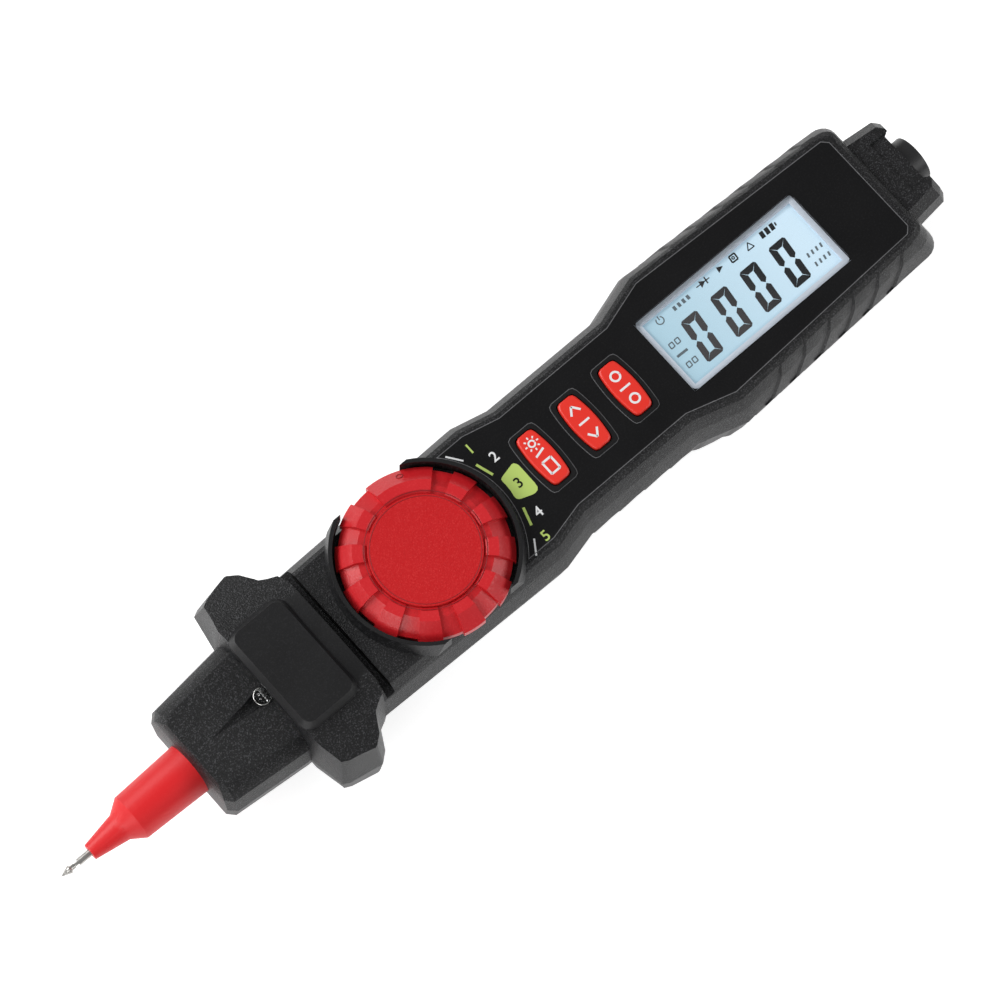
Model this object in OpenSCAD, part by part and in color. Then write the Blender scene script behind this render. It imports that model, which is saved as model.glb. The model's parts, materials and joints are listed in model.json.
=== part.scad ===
// Pen multimeter with a pointed probe at one end, a hand guard, a rotary dial,
// three buttons, a lit display and a COM jack at the other end.
// X runs from the probe tip to the jack, Z out of the front face, and the back rests on Z = 0.
// Inside the modules x is counted from the probe tip; at_origin() centres the finished part.

/* [Lengths along the body] */
// Probe sticking out of the nose
probe_out = 30.2; // [29:0.1:33]
// Nose, up to the guard
nose_len = 17.4; // [17:0.1:20]
// Hand guard
guard_len = 17; // [16:0.1:19]
// Groove behind the guard
groove_w = 1.8; // [1.2:0.1:2.4]
// Body around the dial
bay_len = 40.1; // [39:0.1:43]
// Slope from the dial to the waist
taper_len = 7.5; // [6.5:0.1:9]
// Waist that carries the buttons
waist_len = 26.2; // [25.5:0.1:30]
// Slope from the waist to the display
flare_len = 9.8; // [8:0.1:12]
// Body around the display
screen_len = 50.1; // [49:0.1:55]
// Crown around the jack
crown_len = 6.2; // [5.5:0.1:8]
// Jack tube standing out of the crown
tube_out = 1.7; // [1:0.1:2.5]

/* [Widths where the shells meet] */
// Nose at its front
nose_w = 24; // [22:0.1:26]
// Nose at the guard
nose_back_w = 27; // [26.5:0.1:29]
// Guard at its front corners
guard_w = 42.6; // [41:0.1:45]
// Guard at its rear corners
guard_back_w = 45; // [43:0.1:48]
// Body behind the guard
bay_w = 32.1; // [31:0.1:33.5]
// Body at the end of the dial bay
bay_back_w = 33.9; // [33:0.1:36]
// Waist
waist_w = 30.3; // [30:0.1:32]
// Body where the display starts
screen_w = 36.2; // [35:0.1:38]
// Body where the display ends
screen_back_w = 32.5; // [32:0.1:34]
// Crown at the body
crown_w = 22.8; // [21.5:0.1:25]
// Crown at its ears
crown_back_w = 20.2; // [19:0.1:21.2]

/* [Heights above the back] */
// Probe axis
axis_z = 14.2; // [13.8:0.1:14.6]
// Line where the two shells meet
part_z = 15.7; // [15.3:0.1:15.9]
// Flat front face
face_z = 24; // [23.8:0.1:25]
// Half thickness of the nose
nose_half = 7.8; // [7.6:0.1:8.2]
// Guard's crown above the front face
guard_rise = 2.9; // [2:0.1:3.5]
// Raised pad above the guard's crown
pad_rise = 1.2; // [0.8:0.1:2]
// Dial collar above the front face
collar_rise = 3.5; // [2.5:0.1:4]

/* [Walls and clearances] */
// Wall of both shells
wall = 1.8; // [1.6:0.1:2]
// Clearance between pieces that are set into each other
fit = 0.05; // [0.03:0.01:0.08]
// Gap round a button and under the dial
slot_gap = 0.2; // [0.15:0.01:0.3]

/* [Dial] */
// Distance from the groove to the dial's axis
dial_setback = 20.24; // [20:0.02:20.6]
// Radius over the lugs
dial_r = 16.4; // [16.2:0.1:17]
// Radius over the hollows between the lugs
hollow_r = 15.85; // [15:0.05:16]
// Height of the dial above the front face
dial_h = 4.5; // [4:0.1:5]
// Radius of the flat cap
cap_r = 10.6; // [9.5:0.1:10.8]
// Number of lugs
lug_count = 12; // [8:1:14]
// Angle covered by one lug
lug_angle = 16; // [12:1:20]
// Direction of the pointer at OFF
pointer_angle = 67.3; // [60:0.1:75]

/* [Buttons] */
// Distance from the dial's axis to the first button
button_setback = 28.36; // [28:0.02:29]
// Spacing of the buttons
button_pitch = 10; // [9.8:0.1:10.4]
// Width of a button at its middle
button_w = 5; // [4.6:0.1:5.4]
// Length of a button across the body
button_l = 11.2; // [10.5:0.1:12]
// Height of a button above the front face
button_rise = 0.9; // [0.7:0.1:1.2]
// Travel of a button
button_travel = 0.5; // [0.3:0.1:0.5]

/* [Display] */
// Distance from the first button to the display frame
display_setback = 29.4; // [29:0.1:30.4]
// Length of the display frame
display_l = 38.8; // [37:0.1:39.5]
// Width of the display frame
display_w = 17; // [16:0.1:18]
// Sideways offset of the display
display_y = -0.28; // [-0.4:0.02:0]
// Visible border of the display frame
display_border = 1.15; // [0.8:0.05:1.5]

/* [Probe] */
// Radius of the insulating sleeve at the nose
sleeve_r = 5.2; // [4.8:0.1:5.3]
// Radius of the sleeve where its cone starts
sleeve_neck_r = 2.85; // [2.5:0.05:3.2]
// Radius of the sleeve at its front end
sleeve_tip_r = 1.65; // [1.4:0.05:1.9]
// Radius of the metal barrel
barrel_r = 0.7; // [0.66:0.01:0.8]
// Travel of the sprung tip
tip_travel = 1.2; // [0.8:0.1:1.2]

/* [Jack and cells] */
// Radius of the hole that takes a 4 mm plug
jack_bore_r = 2; // [1.95:0.01:2.05]
// Depth of that hole
jack_depth = 17.5; // [16:0.5:18]
// Outer radius of the jack tube
jack_r = 4.7; // [4.6:0.05:4.9]
// Radius of an AAA cell
cell_r = 5.25; // [5.1:0.05:5.3]
// Length of an AAA cell
cell_l = 44.5; // [43.5:0.1:45]

/* [Hidden] */
$fn = 64;

black = [0.10, 0.10, 0.11];
gloss_black = [0.05, 0.05, 0.06];
red = [0.80, 0.06, 0.08];
button_red = [0.90, 0.16, 0.12];
pale = [0.85, 0.88, 0.90];
steel = [0.72, 0.73, 0.75];
gold = [0.85, 0.68, 0.30];
board_green = [0.10, 0.35, 0.20];
clear = [0.85, 0.93, 0.98, 0.5];

// One overrun serves every cut, and fused pieces reach this far into each other
cut = 1;
weld = 0.3;

// Stations along the body
guard_x = probe_out + nose_len;
guard_end_x = guard_x + guard_len;
bay_x = guard_end_x + groove_w;
taper_x = bay_x + bay_len;
waist_x = taper_x + taper_len;
flare_x = waist_x + waist_len;
screen_x = flare_x + flare_len;
end_x = screen_x + screen_len;
crown_end_x = end_x + crown_len;
overall_len = crown_end_x + tube_out;
dial_x = bay_x + dial_setback;
button_x = dial_x + button_setback;
display_x = button_x + display_setback;

module at_origin() translate([-overall_len / 2, 0, 0]) children();

// Joins rings of points, each clockwise seen from the last, into one closed solid
module loft(rings) {
    n = len(rings[0]);
    m = len(rings);
    polyhedron(
        points = [for (ring = rings) each ring],
        faces = concat(
            [[for (i = [n - 1 : -1 : 0]) i]],
            [for (k = [0 : m - 2], i = [0 : n - 1]) let (a = k * n, j = (i + 1) % n) each
                [[a + i, a + j, a + n + j], [a + i, a + n + j, a + n + i]]],
            [[for (i = [0 : n - 1]) (m - 1) * n + i]]));
}
// Completes a half outline, from front to back at +Y, with its mirror image
function both_sides(half) =
    concat(half, [for (i = [len(half) - 1 : -1 : 0]) [half[i].x, -half[i].y]]);
function lifted(points, z) = [for (p = points) [p.x, p.y, z]];
// The bodies of a shell run past the parting plane by different amounts, and are trimmed there
body_over = 1;
nose_over = 1.5;
guard_over = 2;
crown_over = 2.5;
// Lofts run past their flat ends, which are cut as one face; this goes on along the last slope
run_share = 0.5;
function beyond(a, b, share = run_share) = b + (b - a) * share;
function moved(ring, dz) = [for (p = ring) [p.x, p.y, p.z + dz]];
module trimmed(z0, z1) intersection() {
    union() children();
    block(-cut, overall_len + cut, -guard_back_w, guard_back_w, z0, z1);
}
// Rounded rectangle about its middle
function rounded(l, w, r, steps = 6) = [for (q = [0 : 3], s = [0 : steps])
    let (a = 180 - 90 * q - 90 * s / steps, sx = q == 0 || q == 3 ? -1 : 1, sy = q < 2 ? 1 : -1)
        [sx * (l / 2 - r) + r * cos(a), sy * (w / 2 - r) + r * sin(a)]];
// Outline of a button with bowed long sides, widened by m
button_bulge = 0.45;
button_corner = 0.9;
corner_share = 0.3;
function button_side(m, steps = 8) = [for (s = [-steps : steps])
    [button_w / 2 + m - button_bulge * pow(s / steps, 2), (button_l / 2 + m - button_corner) * s / steps]];
function button_ends(m) = let (x = button_w / 2 + m - button_bulge, y = button_l / 2 + m)
    [[x - corner_share * button_corner, y - corner_share * button_corner], [x - button_corner, y]];
function barrel(m) = let (side = button_side(m), tip = button_ends(m), n = len(side) - 1) concat(
    [for (p = side) [-p.x, p.y]], [for (p = tip) [-p.x, p.y]], [for (i = [1 : -1 : 0]) tip[i]],
    [for (i = [n : -1 : 0]) side[i]], [for (p = tip) [p.x, -p.y]], [for (i = [1 : -1 : 0]) -tip[i]]);
// Cylinder along X, box between two corners, and cylinder along Z between two heights
module rod(x0, x1, r, z = axis_z, y = 0)
    translate([x0, y, z]) rotate([0, 90, 0]) cylinder(h = x1 - x0, r = r);
module block(x0, x1, y0, y1, z0, z1) translate([x0, y0, z0]) cube([x1 - x0, y1 - y0, z1 - z0]);
module post(x, y, z0, z1, r) translate([x, y, z0]) cylinder(h = z1 - z0, r = r);
// Coil about Z with its ends inside the given length
coil_steps = 8;
coil_sides = 6;
module coil(length, turns, wire, r0, r1) loft([for (k = [0 : turns * coil_steps])
    let (t = k / (turns * coil_steps), a = 360 * k / coil_steps, r = r0 + (r1 - r0) * t)
        [for (i = [0 : coil_sides - 1]) let (b = 360 * i / coil_sides, q = r + wire * cos(b))
            [q * cos(a), q * sin(a), wire + (length - 2 * wire) * t + wire * sin(b)]]]);

// Outline of the body where the shells meet, as [x, half width]
corner_r = 3.4;
corner_steps = 5;
front_corner = 1.5;
stations = [[bay_x, bay_w / 2], [taper_x, bay_back_w / 2], [waist_x, waist_w / 2], [flare_x, waist_w / 2],
    [screen_x, screen_w / 2], [end_x - corner_r, screen_back_w / 2]];
function half_width(x) = lookup(x, stations);
// Grip ribs: each starts with a step and fades out along its pitch
rib_pitch = 6.3;
rib_depth = 0.36;
rib_shares = [[0, 1], [0.1, 0], [0.55, 0.25]];
rib_lean_share = 0.46;
front_rib_setback = 5.9;
rear_rib_setback = 2.3;
front_rib_x = screen_x + front_rib_setback;
rear_rib_x = waist_x + rear_rib_setback;
crowding = 0.05;
function rib_points(x0, depth, lean, inset, back) =
    let (last = end_x - corner_r, n = floor((last - x0) / rib_pitch))
    [for (i = [0 : n - 1], k = [0 : 2]) let (x = x0 + rib_pitch * (i + rib_shares[k].x))
        [min(x + lean, last - back - crowding * (3 * (n - i) - k)),
            half_width(x) - depth * rib_shares[k].y - inset]];
function end_corner(inset, back) = let (r = corner_r - inset / 2)
    [for (s = [0 : corner_steps]) let (a = 90 - 90 * s / corner_steps)
        [end_x - corner_r - back + corner_r * cos(a), screen_back_w / 2 - inset - r + r * sin(a)]];
// One layer: front end, inset all round, how far its tail is set back, and its ribs
function body_ring(front, inset, back, rib_x, depth, z) = lifted(both_sides(concat(
    [[front, bay_w / 2 - inset - front_corner], [front + front_corner, bay_w / 2 - inset]],
    [for (s = stations) if (s.x > bay_x && s.x < rib_x) [s.x, s.y - inset]],
    rib_points(rib_x, depth, rib_lean_share * max(0, z - part_z), inset, back),
    end_corner(inset, back))), z);

// Edge profile of the front, and the slope down to the crown
buried_x = guard_end_x - guard_len / 2;
shoulder_drop = 3.2;
shoulder_in = 1.15;
round_drop = 0.6;
round_in = 2.65;
face_in = 3.5;
slope_backs = [1.6, 2.6, 3.5];
function front_joint_ring() = body_ring(buried_x, 0, 0, front_rib_x, rib_depth, part_z);
function rear_joint_ring() = body_ring(buried_x, 0, 0, rear_rib_x, rib_depth, part_z);
module front_body() trimmed(0, face_z) loft([
    moved(front_joint_ring(), -body_over),
    front_joint_ring(),
    body_ring(buried_x, shoulder_in, slope_backs[0], front_rib_x, rib_depth, face_z - shoulder_drop),
    body_ring(buried_x, round_in, slope_backs[1], front_rib_x, rib_depth / 2, face_z - round_drop),
    body_ring(buried_x, beyond(round_in, face_in), beyond(slope_backs[1], slope_backs[2]), front_rib_x,
        beyond(rib_depth / 2, 0), beyond(face_z - round_drop, face_z))]);
back_edge_in = 4.4;
back_round_in = 2.8;
back_side_in = 1.9;
back_round_z = 1.5;
back_side_z = 4.5;
module rear_body() trimmed(0, 2 * face_z) loft([
    body_ring(bay_x + beyond(back_side_in / 2, back_side_in), beyond(back_round_in, back_edge_in),
        beyond(back_side_in, back_round_in), rear_rib_x, beyond(rib_depth / 2, 0), beyond(back_round_z, 0)),
    body_ring(bay_x + back_side_in / 2, back_round_in, back_side_in, rear_rib_x, rib_depth / 2, back_round_z),
    body_ring(bay_x, back_side_in, back_side_in / 2, rear_rib_x, rib_depth, back_side_z),
    rear_joint_ring(),
    moved(rear_joint_ring(), body_over)]);

// Nose: a flat box round the probe axis with bevelled edges
nose_corner = 1.4;
nose_edge_drops = [0, 0.7, 2.3];
nose_edge_ins = [3.7, 2.3, 0.95];
nose_face_ins = [1.2, 0.7, 0.2];
nose_top = axis_z + nose_half;
nose_bottom = axis_z - nose_half;
function nose_ring(inset, face_inset, z) = lifted(both_sides([
    [probe_out + face_inset, nose_w / 2 - nose_corner - inset],
    [probe_out + nose_corner + face_inset / 2, nose_w / 2 - inset],
    [guard_x, nose_back_w / 2 - inset],
    [guard_x + guard_len / 2, nose_back_w / 2 - inset]]), z);
nose_run = beyond(nose_edge_drops[1], nose_edge_drops[0]);
function nose_end_ring(z) =
    nose_ring(beyond(nose_edge_ins[1], nose_edge_ins[0]), beyond(nose_face_ins[1], nose_face_ins[0]), z);
module front_nose() trimmed(0, nose_top) loft(concat(
    [nose_ring(0, 0, part_z - nose_over), nose_ring(0, 0, part_z)],
    [for (i = [2, 1]) nose_ring(nose_edge_ins[i], nose_face_ins[i], nose_top - nose_edge_drops[i])],
    [nose_end_ring(nose_top - nose_run)]));
module rear_nose() trimmed(nose_bottom, 2 * face_z) loft(concat([nose_end_ring(nose_bottom + nose_run)],
    [for (i = [1, 2]) nose_ring(nose_edge_ins[i], nose_face_ins[i], nose_bottom + nose_edge_drops[i])],
    [nose_ring(0, 0, part_z), nose_ring(0, 0, part_z + nose_over)]));

// Hand guard: swept wings, a waist behind them and a shallow notch in front for the lamp
wing_sweep = 1.3;
wing_len = 9;
wing_draft_share = 0.19;
rear_draft_share = 0.1;
rear_front_share = 1.2;
notch_half = 7.8;
notch_depth = 1.1;
wing_back_shares = [[0.06, 0.995], [0.28, 0.93], [0.52, 0.78], [0.68, 0.74], [0.9, 0.7], [1, 0.6]];
wing_front_share = 0.75;
function guard_ring(inset, z, front = wing_front_share) =
    let (f = guard_x + inset * front, w = guard_back_w / 2 - inset)
    lifted(both_sides(concat([
        [f + notch_depth, notch_half - notch_depth], [f, notch_half], [f, nose_back_w / 2],
        [f + wing_sweep, guard_w / 2 - inset - wing_sweep / 2], [f + 2 * wing_sweep, guard_w / 2 - inset],
        [guard_x + wing_len, w]],
        [for (s = wing_back_shares) [guard_x + wing_len + (guard_len - wing_len) * s.x, w * s.y]])), z);
guard_top = face_z + guard_rise;
guard_crown_r = 80;
guard_depth = 8.8;
module front_guard() intersection() {
    loft([guard_ring(0, part_z - guard_over), guard_ring(0, part_z),
        guard_ring(wing_draft_share * (guard_top + cut - part_z), guard_top + cut)]);
    rod(probe_out, bay_x, guard_crown_r, guard_top - guard_crown_r, $fn = 360);
}
module rear_guard() trimmed(part_z - guard_depth, 2 * face_z) loft([
    guard_ring(rear_draft_share * (guard_depth + cut), part_z - guard_depth - cut, rear_front_share),
    guard_ring(0, part_z),
    guard_ring(0, part_z + guard_over)]);
// Raised pad on the guard
pad_l = 13.2;
pad_w = 23.4;
pad_corner_r = 2.8;
pad_slope = 1;
pad_front = 1;
pad_sink = 3;
module guard_pad() translate([guard_x + pad_front + pad_l / 2, 0, 0]) loft([
    lifted(rounded(pad_l, pad_w, pad_corner_r), guard_top - pad_sink),
    lifted(rounded(pad_l, pad_w, pad_corner_r), guard_top - pad_slope / 2),
    lifted(rounded(pad_l - 2 * pad_slope, pad_w - 2 * pad_slope, pad_corner_r - pad_slope),
        guard_top + pad_rise)]);

// Collar: a raised wall before and behind the dial, open at the sides
collar_gap = 0.45;
collar_in_r = dial_r + collar_gap;
collar_t = 0.75;
collar_foot_t = 1.6;
collar_reach = 15.3;
well_drop = 0.5;
well_floor_z = face_z - well_drop;
collar_sink = well_drop + weld;
module collar() translate([dial_x, 0, 0]) intersection() {
    rotate_extrude() polygon([
        [collar_in_r, face_z - collar_sink], [collar_in_r + collar_foot_t, face_z - collar_sink],
        [collar_in_r + collar_t, face_z + collar_rise], [collar_in_r, face_z + collar_rise]]);
    block(-dial_r - 2 * collar_foot_t, dial_r + 2 * collar_foot_t, -collar_reach, collar_reach,
        face_z - 2 * collar_sink, face_z + 2 * collar_rise);
}

// Crown: a bevelled block with two ears round the jack
ear_out = 1.1;
ear_inner_share = 0.66;
ear_round = 1.3;
crown_drop = 1.8;
crown_edge = 2.4;
crown_side_in = 0.6;
crown_back_in = 1;
crown_top_in = 1.7;
crown_half_depth = 6.6;
function crown_ring(inset, back, z) = let (w = crown_back_w / 2 - inset) lifted(both_sides([
    [end_x - 2 * corner_r, crown_w / 2 - inset], [crown_end_x - back, w],
    [crown_end_x + ear_out - back, w - ear_round],
    [crown_end_x + ear_out - back, w * ear_inner_share + ear_round / 2],
    [crown_end_x - back, w * ear_inner_share]]), z);
crown_top = face_z - crown_drop;
crown_bottom = part_z - crown_half_depth;
crown_run = beyond(crown_edge, 0);
function crown_end_ring(z) =
    crown_ring(beyond(crown_side_in, crown_edge), beyond(crown_back_in, crown_top_in), z);
module front_crown() trimmed(0, crown_top) loft([
    crown_ring(0, 0, part_z - crown_over), crown_ring(0, 0, part_z),
    crown_ring(crown_side_in, crown_back_in, crown_top - crown_edge),
    crown_end_ring(crown_top - crown_run)]);
module rear_crown() trimmed(crown_bottom, 2 * face_z) loft([
    crown_end_ring(crown_bottom + crown_run),
    crown_ring(crown_side_in, crown_back_in, crown_bottom + crown_edge),
    crown_ring(0, 0, part_z), crown_ring(0, 0, part_z + crown_over)]);
// Shallow flat on the crown over the jack
crown_flat_w = 11.6;
crown_flat_depth = 0.4;
crown_flat_len = 4.9;

// Case interior
side_in = back_side_in + wall / 2;
low_side_in = back_edge_in + wall / 2;
roof_z = face_z - wall;
floor_z = wall;
low_roof_z = back_side_z + wall;
tail_wall = 3.4;
cavity_x = bay_x + wall / 2;
cavity_end_x = end_x - tail_wall;
module cavity(inset, front, z0, z1) translate([0, 0, z0]) linear_extrude(z1 - z0) polygon(both_sides(concat(
    [[front, half_width(front) - inset]],
    [for (s = stations) if (s.x > front && s.x < cavity_end_x - wall) [s.x, s.y - inset]],
    [[cavity_end_x - wall, screen_back_w / 2 - inset], [cavity_end_x, screen_back_w / 2 - inset - wall]])));

// Nose interior, which the probe socket crosses on two ribs
nose_room_w = 17;
nose_wall = 2.8;
nose_roof_t = 2.2;
nose_room_x = probe_out + nose_wall;
nose_roof_z = nose_top - nose_roof_t;
nose_floor_z = nose_bottom + wall;
module nose_room(z0, z1) block(nose_room_x, cavity_x + 2 * wall, -nose_room_w / 2, nose_room_w / 2, z0, z1);
plug_r = 2;
socket_r = 3.1;
socket_l = 24;
socket_setback = 8;
socket_x = probe_out + socket_setback;
socket_end_t = 2;
socket_rib_t = 1.6;
socket_rib_over = 0.8;
socket_rib_top = axis_z + socket_r + socket_rib_over;
module socket_ribs(z0, z1) for (x = [socket_x + socket_rib_t, socket_x + socket_l - 3 * socket_rib_t])
    block(x, x + socket_rib_t, -nose_room_w / 2 - weld, nose_room_w / 2 + weld, z0, z1);

// Board: its top sits this far below the inside of the front wall
board_gap = 4.6;
board_t = 1.6;
board_side = 0.7;
board_top = roof_z - board_gap;
board_bottom = board_top - board_t;
board_x = cavity_x + board_side;
jack_floor = 4.5;
jack_board_gap = 2.5;
jack_x = overall_len - jack_depth - jack_floor;
board_end_x = jack_x - jack_board_gap;

// Screws: case screws come in from the back, board screws from the board's underside
screw_r = 1;
screw_head_r = 1.9;
screw_head_h = 1.5;
screw_bite = 4.6;
boss_r = 2.5;
wing_screw_setback = 5.6;
wing_screw_in = 4.2;
tail_screw_setback = 8.5;
wing_screw_x = guard_x + wing_screw_setback;
wing_screw_y = guard_w / 2 - wing_screw_in;
tail_screw_x = end_x - tail_screw_setback;
tail_screw_y = screen_back_w / 2 - side_in - boss_r - weld;
wing_seat_sink = 0.4;
wing_seat_z = part_z - guard_depth + screw_head_h + wing_seat_sink;
tail_seat_z = 2 * screw_head_h;
case_screw_places = [[wing_screw_x, wing_screw_y, wing_seat_z], [wing_screw_x, -wing_screw_y, wing_seat_z],
    [tail_screw_x, tail_screw_y, tail_seat_z], [tail_screw_x, -tail_screw_y, tail_seat_z]];
board_screw_r = 0.8;
board_screw_head_r = 1.5;
board_screw_head_h = 0.9;
board_boss_r = 1.7;
board_screw_setback = 3;
waist_screw_setback = 9.6;
board_screw_edge = 0.3;
board_screw_x = board_x + board_screw_setback;
waist_screw_x = waist_x + waist_screw_setback;
board_screw_in = side_in + board_side + board_screw_head_r + board_screw_edge;
board_screw_places = [for (x = [board_screw_x, waist_screw_x], s = [-1, 1])
    [x, s * (half_width(x) - board_screw_in)]];

// Dial's hub, rotor and detent under the front wall
hub_r = 4;
hub_gap = 0.06;
detent_r = 9;
ball_r = 0.75;
track_ring_r = 11.6;
track_ring_h = 1;
track_z = roof_z - track_ring_h;
rotor_r = 11.4;
rotor_t = 1.9;
rotor_top = track_z - slot_gap;
rotor_bottom = rotor_top - rotor_t;
square_w = 5;

// Overlay: the glossy label in a shallow recess of the face
overlay_t = 0.35;
overlay_in = 4.25;
overlay_end_gap = 4.6;
overlay_corner = 1.2;
overlay_front_gap = 0.15;
overlay_front_r = collar_in_r + collar_foot_t + overlay_front_gap;
module overlay_outline() difference() {
    polygon(both_sides(concat([[dial_x, bay_back_w / 2 - overlay_in]],
        [for (s = stations) if (s.x > bay_x && s.x < end_x - corner_r) [s.x, s.y - overlay_in]],
        [[end_x - overlay_end_gap - overlay_corner, screen_back_w / 2 - overlay_in],
            [end_x - overlay_end_gap, screen_back_w / 2 - overlay_in - overlay_corner]])));
    translate([dial_x, 0]) circle(overlay_front_r);
}
button_rim = 0.95;
rim_rise = 0.3;
module at_buttons(z) for (i = [0 : 2]) translate([button_x + i * button_pitch, 0, z]) children();
module display_rect(margin, z0, z1) block(display_x - margin, display_x + display_l + margin,
    display_y - display_w / 2 - margin, display_y + display_w / 2 + margin, z0, z1);

// Lamp: a clear 3 mm diode half sunk in the nose, looking at the tip
led_r = 1.5;
led_z = nose_top;
led_out = 1.4;
led_x = guard_x - led_out;
led_l = 5.3;
led_flange_r = 1.9;
led_flange_t = 1;
led_groove_l = 10.4;
led_groove_r = 1.35;
led_hollow_r = 3.4;
led_room_l = 4.6;
led_room_w = 6;
led_lead_r = 0.25;
led_lead_y = 1.27;
led_lead_over = 1;
led_lead_setback = 1.2;
led_lead_z = board_top + led_lead_over;
led_lead_x = board_x + led_lead_setback;
led_end_x = led_x + led_l;

// Jack
jack_z = part_z;
jack_recess_r = 4.1;
jack_post_r = 3.2;
jack_post_setback = 2.2;
jack_floor_t = 1.5;
contact_r = 2.5;
contact_sink = 0.3;
contact_setback = jack_post_setback + contact_sink;

// Cells and their bay in the back
cell_gap = 0.4;
cover_t = 1.6;
cell_z = cover_t + cell_gap + cell_r;
cell_y = cell_r + cell_gap / 2;
bay_wall = 1.1;
bay_roof_z = cell_z + cell_r + cell_gap;
cell_spring_l = 4;
plate_t = 0.4;
cells_room_w = 4 * cell_r + 3 * cell_gap;
cells_room_l = cell_l + cell_spring_l + 2 * plate_t + 2 * fit;
cells_jack_gap = 4.4;
cells_room_x = jack_x - cells_jack_gap - cells_room_l;
cells_room_end_x = cells_room_x + cells_room_l;
plate_tab_w = 3;
cover_margin = 1.5;
cover_tongue = 7.2;
cover_rim = 0.5;
cover_chamfer = 0.9;
cover_x = cells_room_x - cover_margin;
cover_end_x = cells_room_end_x + cover_tongue;
cover_screw_setback = 3.6;
cover_screw_x = cells_room_end_x + cover_screw_setback;
cover_boss_h = 7;
hook_l = 1.2;
hook_w = 3;
hook_t = 1.2;
// Cover's section runs along X, wider at its top
module cover_bar(x0, x1, grow, drop) translate([x0, 0, 0]) rotate([90, 0, 90]) linear_extrude(x1 - x0)
    let (w = cells_room_w / 2 + cover_rim + grow) polygon([[-w, cover_t + grow], [w, cover_t + grow],
        [w - cover_chamfer, -drop], [-w + cover_chamfer, -drop]]);
module hooks(grow) for (s = [-1, 1]) block(cells_room_x - hook_l - grow, cells_room_x + hook_t + grow,
    s * cell_y - hook_w / 2 - grow, s * cell_y + hook_w / 2 + grow,
    cover_t + grow, cover_t + cell_gap + hook_t + grow);

module front_shell() color(black) at_origin() {
    difference() {
        trimmed(part_z, 2 * face_z) {
            front_body();
            front_nose();
            front_guard();
            guard_pad();
            collar();
            front_crown();
            // Raised rims round the buttons, set through the overlay
            at_buttons(face_z - overlay_t) linear_extrude(overlay_t + rim_rise)
                polygon(barrel(button_rim - fit));
        }
        // Inside
        difference() {
            cavity(side_in, cavity_x, part_z - cut, roof_z);
            post(dial_x, 0, track_z, roof_z + cut, track_ring_r);
            for (p = board_screw_places) post(p.x, p.y, board_top, roof_z + cut, board_boss_r);
            for (i = [2, 3]) post(case_screw_places[i].x, case_screw_places[i].y, 0, roof_z + cut, boss_r);
        }
        difference() {
            nose_room(part_z - cut, nose_roof_z);
            socket_ribs(part_z - 2 * cut, socket_rib_top);
        }
        rod(probe_out - cut, nose_room_x + cut, sleeve_r + fit);
        rod(socket_x - cut, socket_x + socket_l + cut, socket_r + fit);
        // Groove behind the guard, over the face alone
        block(guard_end_x, bay_x, -guard_w, guard_w, face_z - shoulder_drop + weld, guard_top + cut);
        // Dial well, hub hole and the ball track
        post(dial_x, 0, well_floor_z, guard_top, collar_in_r);
        post(dial_x, 0, track_z - cut, well_floor_z + slot_gap, hub_r + hub_gap);
        translate([dial_x, 0, track_z]) rotate_extrude() translate([detent_r, 0]) circle(ball_r + fit);
        // Recess for the overlay, display opening and button slots
        translate([0, 0, face_z - overlay_t]) linear_extrude(overlay_t + cut) difference() {
            overlay_outline();
            for (i = [0 : 2]) translate([button_x + i * button_pitch, 0]) polygon(barrel(button_rim - fit));
        }
        display_rect(fit, roof_z - cut, face_z + cut);
        at_buttons(roof_z - cut) linear_extrude(wall + 2 * cut) polygon(barrel(slot_gap));
        // Lamp hole, its light groove, the hollow round it and the room behind it
        rod(led_x, led_end_x + cut, led_r + fit, led_z);
        rod(led_end_x - led_flange_t - fit, led_end_x + cut, led_flange_r + fit, led_z);
        intersection() {
            rod(guard_x - cut, guard_x + 2 * notch_depth, led_hollow_r, led_z);
            block(probe_out, bay_x, -led_hollow_r, led_hollow_r, led_z, guard_top);
        }
        translate([led_x - led_groove_l, 0, led_z]) rotate([0, 90, 0])
            cylinder(h = led_groove_l + fit, r1 = 0, r2 = led_groove_r);
        block(led_end_x + fit, led_end_x + led_room_l, -led_room_w / 2, led_room_w / 2,
            part_z, led_z + led_r);
        // Jack and the flat over it
        rod(cavity_end_x - cut, overall_len + cut, jack_r + fit, jack_z);
        block(crown_end_x - crown_flat_len, overall_len, -crown_flat_w / 2, crown_flat_w / 2,
            face_z - crown_drop - crown_flat_depth, face_z);
        // Screw holes
        for (p = case_screw_places) post(p.x, p.y, part_z - cut, part_z + screw_bite, screw_r + fit);
        for (p = board_screw_places) post(p.x, p.y, board_top - cut, roof_z, board_screw_r + fit);
    }
}

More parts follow.
